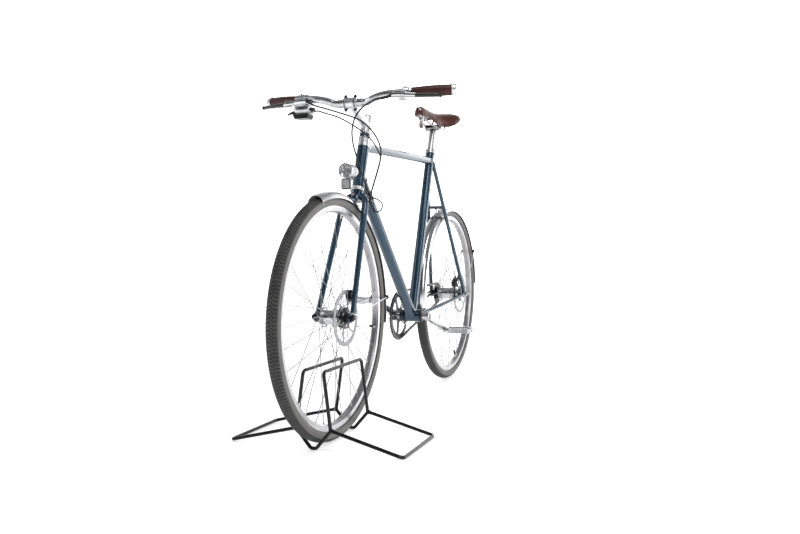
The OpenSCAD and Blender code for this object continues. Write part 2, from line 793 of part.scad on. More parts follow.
// Fork
crown_drop = 16;
crown_seat_r = 19;
crown_h = 30;
crown_mid = steer(fork_l - crown_drop);
fork_drop_y = front_hub_w / 2 + dropout_t / 2;
front_drop_r = drop_r - 2;
blade_y = 37.5;
blade_low = front + [-13, fork_drop_y + 2, 12];
blade_knee = crown_mid - 44 * head_dir + 13 * fore_dir + [0, blade_y, 0];
blade_path = smooth([
    crown_mid + [0, 7, 0],
    crown_mid - 5 * head_dir + 2 * fore_dir + [0, 22, 0],
    crown_mid - 20 * head_dir + 7 * fore_dir + [0, 33, 0],
    blade_knee,
    0.75 * blade_knee + 0.25 * blade_low,
    0.4 * blade_knee + 0.6 * blade_low,
    blade_low
], 3);
blade_taper = 4.5;
module blade(grow) {
    sweep(blade_path, [blade_d / 2 + grow, blade_d / 2 - blade_taper + grow], 20, [1, 0, 0]);
}
module crown_core(grow) {
    rod(steer(fork_l - crown_h - grow), steer(fork_l), crown_seat_r + grow);
}
module fork_blades() {
    color(paint) both_sides() difference() {
        blade(0);
        crown_core(joint_gap);
        axle_turned(front) translate([0, 0, front_hub_w / 2 - drop_cut_in])
            cylinder(h = drop_cut_w, r = front_drop_r + joint_gap);
    }
}
module fork_dropouts() {
    color(paint) both_sides() axle_turned(front) translate([0, 0, front_hub_w / 2]) difference() {
        cylinder(h = dropout_t, r = front_drop_r);
        translate([0, 0, -over]) cylinder(h = dropout_t + 2 * over, r = axle_r + joint_gap);
    }
}
module fork_crown() {
    color(paint) {
        crown_core(0);
        rod(steer(fork_l - crown_h), steer(stem_low_s + stem_clamp_h), steerer_d / 2);
    }
}
module front_axle() {
    wheel_axle(front, front_hub_w, front_axle_past);
}
module front_caliper() {
    lug_at = blade_path[len(blade_path) - 2];
    color(black) difference() {
        caliper([front.x, front_rotor_y, front.z], front_caliper_at, 11, 2.8) rod(
            lug_at,
            on_wheel(front, front_caliper_at - 3, rotor_d / 2 - 6, front_rotor_y - 5), caliper_lug_r
        );
        blade(joint_gap);
    }
}
module front_mudguard() {
    color(chrome) guard(front, front_guard_from, front_guard_to);
}
module front_mudguard_stays() {
    a = atan2(crown_mid.z - front.z, crown_mid.x - front.x);
    color(chrome) {
        both_sides() rod(
            front + [-12, fork_drop_y + dropout_t / 2 + stay_r + stay_lift, 4],
            guard_side(front, front_stay_at), stay_r
        );
        difference() {
            rod(on_wheel(front, a, guard_top_r + joint_gap, 0), crown_mid, bracket_r);
            crown_core(joint_gap);
        }
    }
}

// Steering
module stem_spacer() {
    color(paint) place(steer(head_top_s + headset_cover_h), steer(stem_low_s)) difference() {
        cylinder(h = spacer_h - joint_gap, r1 = steerer_d / 2 + 4, r2 = steerer_d / 2 + 2.5);
        translate([0, 0, -over]) cylinder(h = spacer_h + 2 * over, r = steerer_d / 2 + joint_gap);
    }
}
stem_bar_w = 42;
stem_wall = 2.7;
stem_cap_h = 18;
stem_root_r = 15.5;
stem_tip_r = 12.5;
stem_bar_wall = 4;
module stem() {
    bore = steerer_d / 2 + joint_gap;
    r = steerer_d / 2 + stem_wall;
    top = stem_clamp_h + stem_cap_h;
    color(chrome) difference() {
        union() {
            place(steer(stem_low_s), steer(stem_low_s + top)) rotate_extrude() polygon([
                [0, 0], [r, 0], [r + 1, 3], [r, 6], [r, top - 12],
                [r - 2, top - 6], [r - 6, top - 2], [0, top]
            ]);
            place(steer(stem_mid_s + 4), bar_centre) cylinder(h = stem_l, r1 = stem_root_r, r2 = stem_tip_r);
            axle_turned(bar_centre)
                cylinder(h = stem_bar_w, r = bar_clamp_d / 2 + stem_bar_wall, center = true);
        }
        rod(steer(stem_low_s - over), steer(stem_low_s + stem_clamp_h + joint_gap), bore);
        axle_turned(bar_centre)
            cylinder(h = stem_bar_w + 2 * over, r = bar_clamp_d / 2 + joint_gap, center = true);
    }
}
// The bar's bends are placed as shares of its half width less the grip
bar_root = bar_half - grip_l + 2;
bar_tip = [-56, bar_half, 29];
bar_elbow = [-16, bar_root, 23];
bar_path = smooth([
    [0, 0.2 * bar_root, 0], [1, 0.289 * bar_root, 1], [4, 0.378 * bar_root, 7], [5, 0.511 * bar_root, 14],
    [2.5, 0.678 * bar_root, 19], [-8, 0.861 * bar_root, 21.8], bar_elbow, bar_tip
], 3);
grip_dir = unit(bar_tip - bar_elbow);
bar_end = bar_centre + bar_tip;
end_cap_l = 13;
module handlebar() {
    color(chrome) {
        axle_turned(bar_centre) cylinder(h = 0.43 * bar_root, d = bar_clamp_d, center = true);
        both_sides() sweep([for (p = bar_path) bar_centre + p], bar_d / 2, 20, [0, 0, 1]);
    }
}
grip_bore_r = bar_d / 2 + 0.6;
module grips() {
    r = grip_d / 2;
    soft_l = grip_l - end_cap_l;
    color(leather) both_sides() place(bar_end - grip_dir * grip_l, bar_end) rotate_extrude() polygon([
        [grip_bore_r, 0], [r - 3.5, 0], [r - 2.8, 2], [r - 2.4, 0.1 * soft_l], [r - 0.8, 0.35 * soft_l],
        [r, 0.6 * soft_l], [r - 0.2, 0.8 * soft_l], [r - 0.8, soft_l], [grip_bore_r, soft_l]
    ]);
}
module bar_end_caps() {
    r = grip_d / 2;
    low = grip_l - end_cap_l + joint_gap;
    plug = grip_l + 0.2;
    color(chrome) both_sides() place(bar_end - grip_dir * grip_l, bar_end) rotate_extrude() polygon([
        [grip_bore_r, low], [r - 0.4, low], [r + 1, low + 2], [r + 1, low + 5], [r + 0.2, grip_l - 2],
        [r - 1, grip_l + 2], [0, grip_l + 4], [0, plug], [grip_bore_r, plug]
    ]);
}
lever_gap = 16;
lever_band = 4.5;
lever_band_half = 8;
band_clear = 0.9;
lever_at = bar_end - grip_dir * (grip_l + lever_gap);
module brake_levers() {
    root = lever_at + [28, 0, -13];
    color(black) both_sides() {
        difference() {
            union() {
                rod(
                    lever_at - grip_dir * lever_band_half,
                    lever_at + grip_dir * lever_band_half, bar_d / 2 + lever_band
                );
                rod(lever_at + [4, 3, -4], root, 8);
                rod(lever_at + [30, -30, -10], lever_at + [30, 8, -11], 8.5);
            }
            rod(lever_at - grip_dir * 60, lever_at + grip_dir * 60, bar_d / 2 + band_clear);
        }
        sweep(smooth([
            root + [-4, -8, 1], root + [2, 6, -1], root + [9, 34, -4], root + [9, 74, -7], root + [5, 116, -9]
        ], 3), [6, 4.5], 12, [0, 0, 1]);
    }
}
shifter_at = lever_at - grip_dir * 17;
shifter_band = 4;
shifter_band_w = 10;
module gear_shifter() {
    color(black) mirror([0, 1, 0]) {
        place(shifter_at - grip_dir * shifter_band_w / 2, shifter_at) difference() {
            cylinder(h = shifter_band_w, r = bar_d / 2 + shifter_band);
            translate([0, 0, -over]) cylinder(h = shifter_band_w + 2 * over, r = bar_d / 2 + band_clear);
        }
        translate(shifter_at + [-8, 0, -25]) cube([11, 11, 24], center = true);
        translate(shifter_at + [-4, 14, -46]) rotate([90, 0, 90]) linear_extrude(36, center = true)
            polygon([[-26, 12], [26, 12], [27, 2], [20, -12], [-22, -12], [-27, 0]]);
    }
}

// Lamp at the fork crown
lamp_at = steer(head_low_s + 26) + [98, 0, 20];
lamp_wall = 1.6;
shell_share = 0.97;
module headlamp() {
    r = lamp_d / 2;
    color(chrome) translate([lamp_at.x - lamp_l, 0, lamp_at.z]) rotate([0, 90, 0]) rotate_extrude() polygon([
        [0, 0], [0.3 * r, 0.5], [0.55 * r, 3], [0.75 * r, 9], [0.88 * r, 18], [0.95 * r, 30],
        [shell_share * r, lamp_l - 9], [r, lamp_l - 8], [r, lamp_l], [r - lamp_wall, lamp_l],
        [r - lamp_wall, lamp_l - 4], [0.7 * r, lamp_l - 15], [0.35 * r, lamp_l - 20], [0, lamp_l - 21]
    ]);
}
reflector_t = 7;
reflector_top = lamp_at.z - lamp_d / 2 - 1;
reflector_from = front.x - 91;
reflector_corner = 4;
bracket_pad = [6, 12, 20];
bracket_rod_r = 3;
module front_reflector() {
    color(steel) translate([reflector_from, 0, reflector_top - reflector_h / 2]) rotate([90, 0, 90])
        linear_extrude(reflector_t) polygon(cut_corners(reflector_w / 2, reflector_h / 2, reflector_corner));
}
module lamp_bracket() {
    pad = [reflector_from - bracket_pad.x / 2 - 2 * joint_gap, 0, reflector_top - reflector_h / 2];
    post_x = pad.x - 0.7;
    color(steel) {
        difference() {
            sweep(smooth([
                crown_mid + 12 * fore_dir, crown_mid + 30 * fore_dir,
                pad - [10, 0, 6], [post_x, 0, pad.z + 4], [post_x, 0, reflector_top - 4],
                [post_x, 0, lamp_at.z - shell_share * lamp_d / 2 - fit_gap]
            ], 3), bracket_rod_r, 8, [0, 1, 0]);
            crown_core(joint_gap);
        }
        translate(pad) cube(bracket_pad, center = true);
    }
}

// Wheels
tyre_centre_r = tyre_r - tyre_w / 2;
module tyre(c) {
    color(rubber) wheel_section(c) difference() {
        translate([tyre_centre_r, 0]) circle(d = tyre_w);
        translate([tyre_centre_r, 0]) circle(d = tyre_w - 2 * tyre_wall);
        translate([tyre_centre_r - tyre_w, 0])
            square([2 * (rim_flange_r + joint_gap - tyre_centre_r + tyre_w), 2 * tyre_w], center = true);
    }
}
rim_low_r = rim_flange_r - rim_h;
module rim(c) {
    half = rim_w / 2;
    color(chrome) wheel_section(c) polygon([
        [rim_low_r, -half * 0.45], [rim_low_r + 4, -half * 0.9],
        [rim_flange_r - 6, -half], [rim_flange_r, -half],
        [rim_flange_r, -half + 1.8], [rim_flange_r - 5.5, -half + 2.4], [rim_flange_r - 7, -half * 0.35],
        [rim_flange_r - 9, 0],
        [rim_flange_r - 7, half * 0.35], [rim_flange_r - 5.5, half - 2.4], [rim_flange_r, half - 1.8],
        [rim_flange_r, half], [rim_flange_r - 6, half], [rim_low_r + 4, half * 0.9], [rim_low_r, half * 0.45]
    ]);
}
flange_t = 3;
spoke_lift = 1.2;
flange_bevel = 1;
front_flange_r = 30;
rear_flange_r = 33;
front_flange_y = [26, -29];
rear_flange_y = [30, -30];
front_hub_body_r = 21;
rear_hub_body_r = 22.5;
spoke_hole_in = 4;
spoke_spread = 2.5;
nipple_gap = 0.3;
module spokes(c, flange_r, flange_y) {
    hole_r = flange_r - spoke_hole_in;
    pairs = spoke_count / 4;
    lead = 360 / (2 * pairs) * 3;
    for (side = [0, 1]) for (k = [0 : 2 * pairs - 1]) {
        head = k % 2 == 0 ? 1 : -1;
        a = 360 * k / (2 * pairs) + side * 180 / (2 * pairs);
        outside = (head > 0) == (side == 0);
        y_hub = flange_y[side] + head * (flange_t / 2 + spoke_d / 2 + (outside ? spoke_lift : 2 * joint_gap));
        end_a = a + head * lead;
        y_rim = (side == 0 ? 1 : -1) * spoke_spread;
        rod(
            on_wheel(c, a, hole_r, y_hub), on_wheel(c, end_a, rim_low_r - nipple_gap, y_rim),
            spoke_d / 2, $fn = 12
        );
    }
}
module front_tyre() {
    tyre(front);
}
module front_rim() {
    rim(front);
}
module front_spokes() {
    color(steel) spokes(front, front_flange_r, front_flange_y);
}
module hub_body(w, flange_r, flange_y, body_r) {
    rotate_extrude() polygon([
        [axle_r + fit_gap, -w / 2 + 1], [13, -w / 2 + 1], [13, -w / 2 + 9], [hub_nose_r, -w / 2 + 9],
        [hub_nose_r, flange_y[1] - flange_t / 2 - 4],
        [body_r, flange_y[1] - flange_t / 2 - 1], [body_r, flange_y[1] - flange_t / 2],
        [flange_r - 6, flange_y[1] - flange_t / 2], [flange_r, flange_y[1] - flange_t / 2 + flange_bevel],
        [flange_r, flange_y[1] + flange_t / 2],
        [body_r, flange_y[1] + flange_t / 2], [body_r, flange_y[0] - flange_t / 2],
        [flange_r, flange_y[0] - flange_t / 2],
        [flange_r, flange_y[0] + flange_t / 2 - flange_bevel], [flange_r - 6, flange_y[0] + flange_t / 2],
        [body_r, flange_y[0] + flange_t / 2], [body_r, flange_y[0] + flange_t / 2 + 1],
        [hub_nose_r, flange_y[0] + flange_t / 2 + 4], [hub_nose_r, w / 2 - 7], [13, w / 2 - 7],
        [13, w / 2 - 1], [axle_r + fit_gap, w / 2 - 1]
    ]);
}
module front_hub() {
    color(chrome) axle_turned(front) hub_body(front_hub_w, front_flange_r, front_flange_y, front_hub_body_r);
}
module rear_hub() {
    color(chrome) axle_turned(rear) hub_body(rear_hub_w, rear_flange_r, rear_flange_y, rear_hub_body_r);
}
rotor_band = 13;
rotor_carrier_r = 31;
rotor_arms = 6;
arm_half = 2.4;
hole_count = 30;
hole_r = 1.9;
module rotor(c) {
    r = rotor_d / 2;
    mean_r = r - rotor_band / 2;
    color(steel) axle_turned(c) translate([0, 0, -rotor_t / 2]) linear_extrude(rotor_t) difference() {
        union() {
            difference() {
                circle(r = r);
                circle(r = r - rotor_band);
            }
            circle(r = rotor_carrier_r);
            for (k = [0 : rotor_arms - 1]) rotate(360 * k / rotor_arms) polygon([
                [rotor_carrier_r - 3, -arm_half], [45, arm_half * 1.6], [mean_r - 3, 21], [mean_r - 5, 28],
                [42, arm_half * 3.8], [rotor_carrier_r - 3, arm_half * 2]
            ]);
        }
        circle(r = hub_nose_r + joint_gap);
        for (k = [0 : hole_count - 1]) rotate(360 * k / hole_count)
            translate([mean_r + (k % 3 - 1) * 3, 0]) circle(r = hole_r, $fn = 6);
    }
}
module front_rotor() {
    rotor([front.x, front_rotor_y, front.z]);
}
module rear_rotor() {
    rotor([rear.x, rear_rotor_y, rear.z]);
}
module rear_tyre() {
    tyre(rear);
}
module rear_rim() {
    rim(rear);
}
module rear_spokes() {
    color(steel) spokes(rear, rear_flange_r, rear_flange_y);
}

// Display stand
rod_r = stand_rod_d / 2;
stand_x = front.x;
cradle_y = 52;
cradle_z = 56;
cradle_low = rod_r;
cradle_flat = 8;
foot_join = 0.7;
upright_y = 30.5;
splice = 22;
function stand_point(along, y, z) = [stand_x + along * stand_half_l, y, z];
function upright_foot(along) = stand_point(along, cradle_y, cradle_z);
function upright_top(along) = stand_point(along, upright_y, stand_h - rod_r);
upright_dir = unit(upright_top(1) - upright_foot(1));
bend_r = 12;
bend_steps = 4;
module stand_uprights() {
    lift = upright_dir * (splice + joint_gap);
    color(black) both_sides() sweep(rounded([
        upright_foot(1) + lift, upright_top(1), upright_top(-1), upright_foot(-1) + lift
    ], bend_r, bend_steps), rod_r, 12, [1, 0, 0]);
}
module stand_cradle() {
    lift = upright_dir * splice;
    color(black) for (a = [-1, 1]) sweep(rounded([
        upright_foot(a) + lift, upright_foot(a), stand_point(a, cradle_flat, cradle_low),
        stand_point(a, -cradle_flat, cradle_low), mirror_y(upright_foot(a)),
        mirror_y(upright_foot(a) + lift)
    ], bend_r, bend_steps), rod_r, 12, [1, 0, 0]);
}
module stand_foot(side) {
    y0 = cradle_y + rod_r - foot_join;
    color(black) sweep([for (p = rounded([
        stand_point(1, y0, cradle_z), stand_point(1, stand_half_w - rod_r, rod_r),
        stand_point(-1, stand_half_w - rod_r, rod_r), stand_point(-1, y0, cradle_z)
    ], bend_r, bend_steps)) [p.x, side * p.y, p.z]], rod_r, 12, [1, 0, 0]);
}
module stand_foot_left() {
    stand_foot(1);
}
module stand_foot_right() {
    stand_foot(-1);
}

// Cables and hoses, held all the way: points from the bar's centre, the down tube's top end and the axle
cable_r = 2.5;
gear_cable_r = 0.9 * cable_r;
cable_seat = 0.2;
down_dir = unit(bb - down_tube_front);
down_under = [-down_dir.z, 0, down_dir.x];
function on_down_tube(s, turn, r) =
    down_tube_front + s * down_dir
    + (down_tube_d / 2 + r + cable_seat) * ([0, cos(turn), 0] + sin(turn) * down_under);
function shifted(o, points) = [for (p = points) o + p];
hose_from = lever_at.y - 31.7;
gear_from = lever_at.y - 29.5;
rear_hose_points = concat(
    shifted(bar_centre, [
        [18, -hose_from, 12], [8, -0.656 * bar_root, 0], [-9, -0.506 * bar_root, -8], [-1, -37, -26],
        [3, 14, -44], [-5, 43, -62], [-17, 60, -82], [-35, 71, -107], [-51, 74, -135]
    ]),
    shifted(down_tube_front, [[-3, 68, 50], [-16, 50, 7]]),
    [on_down_tube(64, 23, cable_r)]
);
gear_cable_points = concat(
    shifted(bar_centre, [
        [-11, -gear_from, -20], [-9, -0.656 * bar_root, -14], [-9, -0.506 * bar_root, -22],
        [-1, -37, -41], [1, 13, -69], [-9, 41, -91], [-25, 60, -114]
    ]),
    shifted(down_tube_front, [[15, 70, 72], [11, 73, 50], [-1, 55, 6]]),
    [on_down_tube(74, 58, 12), on_down_tube(94, 50, gear_cable_r)]
);
front_hose_points = concat(
    shifted(bar_centre, [
        [18, hose_from, 12], [14, 0.611 * bar_root, 5], [19, 0.467 * bar_root, 2], [13, 41, -18],
        [15, 19, -47], [15, 10, -81], [11, 11, -119], [3, 20, -162], [-5, 33, -212]
    ]),
    shifted(crown_mid, [[20, 45, 17], [10, 50, 1], [4, 46, -15], [8, 37, -40]]),
    shifted(blade_low, [[-109, -15, 223], [-79, -11, 148], [-52, -9, 80]]),
    [on_wheel(front, front_caliper_at + 4, rotor_d / 2 + caliper_high + 2.2, front_rotor_y)]
);
module rear_brake_hose() {
    color(black) sweep(smooth(rear_hose_points, 3), cable_r, 8, [0, 0, 1]);
}
module gear_cable() {
    color(black) sweep(smooth(gear_cable_points, 3), gear_cable_r, 8, [0, 0, 1]);
}
module front_brake_hose() {
    color(black) sweep(smooth(front_hose_points, 2), cable_r, 8, [0, 0, 1]);
}

head_tube();
top_tube();
down_tube();
seat_tube();
bottom_bracket();
chainstays();
seatstays();
stay_bridges();
dropouts();
headset();
seat_clamp();
seatpost();
saddle();
saddle_frame();
rear_axle();
rear_caliper();
rear_mudguard();
rear_mudguard_stays();
chain();
rear_brake_hose();
gear_cable();
fork_crown();
fork_blades();
fork_dropouts();
stem();
stem_spacer();
handlebar();
grips();
bar_end_caps();
brake_levers();
gear_shifter();
headlamp();
lamp_bracket();
front_reflector();
front_axle();
front_caliper();
front_mudguard();
front_mudguard_stays();
front_brake_hose();
stand_uprights();
stand_cradle();
stand_foot_left();
stand_foot_right();
front_tyre();
front_rim();
front_spokes();
front_hub();
front_rotor();
rear_tyre();
rear_rim();
rear_spokes();
rear_hub();
rear_rotor();
rear_sprocket();
chainring();
cranks();
pedal_left();
pedal_right();
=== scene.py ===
import math

import bpy
import bmesh
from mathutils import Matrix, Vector


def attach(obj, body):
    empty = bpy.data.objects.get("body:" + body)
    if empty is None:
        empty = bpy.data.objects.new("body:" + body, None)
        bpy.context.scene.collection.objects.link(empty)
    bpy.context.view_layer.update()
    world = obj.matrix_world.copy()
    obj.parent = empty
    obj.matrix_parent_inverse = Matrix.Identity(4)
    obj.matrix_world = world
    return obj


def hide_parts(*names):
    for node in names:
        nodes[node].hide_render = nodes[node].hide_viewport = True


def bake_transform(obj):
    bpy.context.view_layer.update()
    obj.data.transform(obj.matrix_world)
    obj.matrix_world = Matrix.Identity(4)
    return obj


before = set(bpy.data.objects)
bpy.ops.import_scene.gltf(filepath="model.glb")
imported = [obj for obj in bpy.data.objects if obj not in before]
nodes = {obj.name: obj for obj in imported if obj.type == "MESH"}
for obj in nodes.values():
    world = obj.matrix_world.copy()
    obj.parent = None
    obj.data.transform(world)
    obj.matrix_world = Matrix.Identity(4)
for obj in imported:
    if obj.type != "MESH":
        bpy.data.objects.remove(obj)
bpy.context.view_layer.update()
scene = bpy.context.scene

# Places and directions of the part's source, in metres
X, Y, Z = Vector((1, 0, 0)), Vector((0, 1, 0)), Vector((0, 0, 1))
FRONT = Vector((0.5315, 0, 0.348))
REAR = Vector((-0.5315, 0, 0.348))
BB = Vector((-0.1045, 0, 0.294))
HEAD = Vector((-0.309017, 0, 0.951057))
FORE = Vector((0.951057, 0, 0.309017))
SEAT = Vector((-0.317305, 0, 0.948324))
STEER_FOOT = FRONT - 0.045 * FORE


def steer(s):
    return STEER_FOOT + s * HEAD


def seat(s):
    return BB + s * SEAT


def mm(x, y, z):
    return Vector((x, y, z)) / 1000


def mirrored(p):
    return Vector((p.x, -p.y, p.z))


def on_side(side, p):
    """A point of the left side, or its mirror image for side -1."""
    return p if side > 0 else mirrored(p)


def radial(angle):
    """A direction in a wheel's plane: the angle runs from +X towards +Z, in degrees."""
    a = math.radians(angle)
    return Vector((math.cos(a), 0, math.sin(a)))


def around(centre, angle, radius, y=0.0):
    """A point on a wheel."""
    p = centre + radius * radial(angle)
    return Vector((p.x, y, p.z))


CROWN = steer(0.384)
DOWN_TOP = steer(0.446)
DOWN_DIR = (BB - DOWN_TOP).normalized()
DOWN_UNDER = Vector((-DOWN_DIR.z, 0, DOWN_DIR.x))
BAR = steer(0.612) + 0.123 * radial(27)
BAR_TIP = BAR + mm(-56, 306, 29)
GRIP_DIR = mm(-40, 126, 6).normalized()
GRIP_L, GRIP_R = 0.128, 0.0165
LEVER = BAR_TIP - GRIP_DIR * 0.144
LEVER_ROOT = LEVER + mm(28, 0, -13)
BLADE_LOW = FRONT + mm(-13, 55, 12)
LAMP = steer(0.438) + mm(98, 0, 20)
SADDLE_AT = seat(0.746)
SECTION_R, SECTION_C = 0.019, 0.329
GUARD_R, GUARD_C = 0.0237, 0.333
CRANK_DIR, CRANK_L = radial(202), 0.17

# Camera, at the photograph's place
camera_data = bpy.data.cameras.new("camera")
camera = bpy.data.objects.new("camera", camera_data)
scene.collection.objects.link(camera)
LOOK = Vector((-0.93087, -0.36358, -0.03588))
camera.location = (2.4724, 0.9612, 0.5690)
camera.rotation_euler = LOOK.to_track_quat("-Z", "Y").to_euler()
camera_data.sensor_fit = "HORIZONTAL"
camera_data.sensor_width = 36
camera_data.lens = 34.313
camera_data.clip_end = 60
scene.camera = camera


# Shader nodes
def put(t, socket, value):
    """Sets a socket to a number, place or colour, or links another node's output to it."""
    if isinstance(value, bpy.types.NodeSocket):
        t.links.new(value, socket)
    elif socket.type == "RGBA":
        socket.default_value = (*value, 1)
    else:
        socket.default_value = value


def node(t, kind, output, values, **settings):
    """One output of a new node with these settings and inputs."""
    n = t.nodes.new("ShaderNode" + kind)
    for key, value in settings.items():
        setattr(n, key, value)
    for key, value in values.items():
        put(t, n.inputs[key], value)
    return n.outputs[output]


def new_material(name):
    m = bpy.data.materials.new(name)
    m.use_nodes = True
    return m, m.node_tree


def fill(t, values):
    """Puts values on the inputs of the material's shader."""
    for key, value in values.items():
        put(t, t.nodes["Principled BSDF"].inputs[key], value)


def coords(t):
    return node(t, "TexCoord", "Object", {})


def offset_coords(t, centre=(0, 0, 0)):
    """The object's coordinates, less a point: x, y and z sockets."""
    moved = node(t, "VectorMath", "Vector", {0: coords(t), 1: centre}, operation="SUBTRACT")
    return node(t, "SeparateXYZ", "X", {0: moved}).node.outputs[:]


def noise(t, scale, detail=3, rough=0.5, at=None):
    values = {"Scale": scale, "Detail": detail, "Roughness": rough}
    values["Vector"] = coords(t) if at is None else at
    return node(t, "TexNoise", "Fac", values)


def cells(t, scale, feature="DISTANCE_TO_EDGE", randomness=1.0):
    values = {"Scale": scale, "Randomness": randomness, "Vector": coords(t)}
    return node(t, "TexVoronoi", "Distance", values, feature=feature)


def remap(t, value, low, high, a=0.3, b=0.7):
    """From low to high while the value runs from a to b."""
    ends = {"From Min": a, "From Max": b, "To Min": low, "To Max": high}
    return node(t, "MapRange", "Result", {"Value": value, **ends})


def mix(t, fac, a, b, kind="RGBA"):
    """Between two colours, or two numbers where kind is FLOAT."""
    return node(t, "Mix", "Result", {"Factor": fac, "A": a, "B": b}, data_type=kind)


def math_node(t, op, *values):
    return node(t, "Math", "Value", dict(enumerate(values)), operation=op)


def times(t, a, b):
    return math_node(t, "MULTIPLY", a, b)


def plus(t, a, b):
    return math_node(t, "ADD", a, b)


def less(t, a, b):
    return math_node(t, "SUBTRACT", a, b)


def length(t, a, b):
    return math_node(t, "SQRT", plus(t, times(t, a, a), times(t, b, b)))


def above(t, value, at, soft=0.0002):
    """0 below a place and 1 above it."""
    return remap(t, value, 0, 1, at - soft, at + soft)


def below(t, value, at, soft=0.0002):
    return less(t, 1, above(t, value, at, soft))


def bump(t, height, strength, depth):
    """Relief of a depth in millimetres."""
    values = {"Strength": strength, "Distance": depth / 1000, "Height": height}
    return node(t, "Bump", "Normal", values)


# Materials
def surface(
        name, dark, light, rough, metallic=0.0, coat=0.0, grain=40, fine=900, depth=0.04, shine=0.5):
    """A plain finish with broad shade, changing gloss and fine grain."""
    m, t = new_material(name)
    broad = noise(t, grain)
    fill(t, {
        "Base Color": mix(t, remap(t, broad, 0, 1), dark, light),
        "Roughness": remap(t, broad, *rough),
        "Metallic": metallic,
        "Coat Weight": coat,
        "Specular IOR Level": shine,
    })
    if depth:
        fill(t, {"Normal": bump(t, noise(t, fine, 2), 0.35, depth)})
    return m


def flake_paint(name, dark, light):
    """Metallic paint with fine flakes under a clear coat."""
    m, t = new_material(name)
    spark = remap(t, cells(t, 2600, "F1"), 1, 0, 0, 0.6)
    base = mix(t, remap(t, noise(t, 6, 2), 0, 1), dark, light)
    fill(t, {
        "Base Color": mix(t, times(t, spark, 0.16), base, (0.05, 0.16, 0.26)),
        "Roughness": remap(t, noise(t, 18), 0.24, 0.32),
        "Metallic": 0.62,
        "Coat Weight": 1.0,
        "Coat Roughness": 0.03,
        "Normal": bump(t, noise(t, 260, 1), 0.03, 0.06),
    })
    return m


def leather(name, dark, light, scale, depth=0.45):
    """Worn leather with pores between fine creases, and painted shade that darkens the creases."""
    m, t = new_material(name)
    creases = remap(t, cells(t, scale), 1, 0, 0, 0.12)
    pores = noise(t, scale * 3)
    worn = noise(t, 22, 4, 0.6)
    base = mix(t, remap(t, worn, 0, 1), dark, light)
    # Painted shade: the creases darken towards a third of the dark leather colour; depth sets both this
    # painted shade and the bump's strength.
    crease_shade = tuple(c * 0.35 for c in dark)
    fill(t, {
        "Base Color": mix(t, times(t, creases, depth), base, crease_shade),
        "Roughness": remap(t, worn, 0.5, 0.3),
        "Coat Weight": 0.05,
        "Specular IOR Level": 0.24,
        "Normal": bump(t, plus(t, times(t, creases, -1), times(t, pores, 0.5)), depth, 0.25),
    })
    return m


def finish(dark, light, rough, metal=0.0):
    return {"dark": dark, "light": light, "rough": rough, "metal": metal}


def layered(name, one, two, mask, flow=None, grain=40, depth=0.03, coat=0.0):
    """Two finishes on one piece, parted by a mask from the object's coordinates."""
    m, t = new_material(name)
    broad = noise(t, grain, at=flow(t) if flow else None)
    spread = remap(t, broad, 0, 1)
    side = mask(t)
    colours = [mix(t, spread, look["dark"], look["light"]) for look in (one, two)]
    roughs = [remap(t, broad, *look["rough"]) for look in (one, two)]
    fill(t, {
        "Base Color": mix(t, side, *colours),
        "Roughness": mix(t, side, *roughs, "FLOAT"),
        "Metallic": mix(t, side, one["metal"], two["metal"], "FLOAT"),
        "Coat Weight": coat,
        "Normal": bump(t, noise(t, 900, 2), 0.3, depth),
    })
    return m


def wheel_flow(centre, turn, across):
    """Coordinates that run round a wheel, so that grain follows the rim."""
    def build(t):
        x, y, z = offset_coords(t, centre)
        angle = math_node(t, "ARCTAN2", z, x)
        r = length(t, x, z)
        flow = {0: times(t, angle, turn), 1: times(t, r, across), 2: times(t, y, across)}
        return node(t, "CombineXYZ", "Vector", flow)
    return build


def section(t, centre, ring_r):
    """Distance from the middle of a ring's round section."""
    x, y, z = offset_coords(t, centre)
    return length(t, less(t, length(t, x, z), ring_r), y)


# Masks
def along_head(t):
    x, y, z = offset_coords(t, STEER_FOOT)
    return above(t, plus(t, times(t, x, HEAD.x), times(t, z, HEAD.z)), 0.546)


def beyond_y(at):
    return lambda t: above(t, math_node(t, "ABSOLUTE", offset_coords(t)[1]), at)


def above_z(at):
    return lambda t: above(t, offset_coords(t)[2], at)


def drive_side(t):
    return below(t, offset_coords(t)[1], -0.033)


def inside_radius(centre, at):
    def build(t):
        x, y, z = offset_coords(t, centre)
        return below(t, length(t, x, z), at)
    return build


def guard_inside(centre):
    return lambda t: below(t, section(t, centre, GUARD_C), GUARD_R)


# Finishes of single pieces
def tyre_look(name, centre):
    """Black tread over grey sidewalls with fine light and dark rings; the grooves between the tread blocks
    are near black, as painted shade.
    """
    m, t = new_material(name)
    x, y, z = offset_coords(t, centre)
    r = length(t, x, z)
    stripe = remap(t, math_node(t, "SINE", times(t, r, 4200)), 0, 1, -0.6, 0.9)
    wear = noise(t, 30, 4)
    side = mix(t, stripe, (0.07, 0.069, 0.067), (0.24, 0.235, 0.225))
    worn = mix(t, remap(t, wear, 0, 1), (0.04, 0.04, 0.041), (0.1, 0.1, 0.098))
    # Painted shade: below the block tops, in the grooves, the tread is near black; the block tops get the
    # worn colour.
    block = above(t, section(t, centre, SECTION_C), 0.01845, 0.0003)
    tread = mix(t, block, (0.004, 0.004, 0.004), worn)
    fill(t, {
        "Base Color": mix(t, below(t, r, 0.3375, 0.0012), tread, side),
        "Roughness": remap(t, wear, 0.55, 0.72),
        "Normal": bump(t, noise(t, 1400), 0.4, 0.12),
    })
    return m


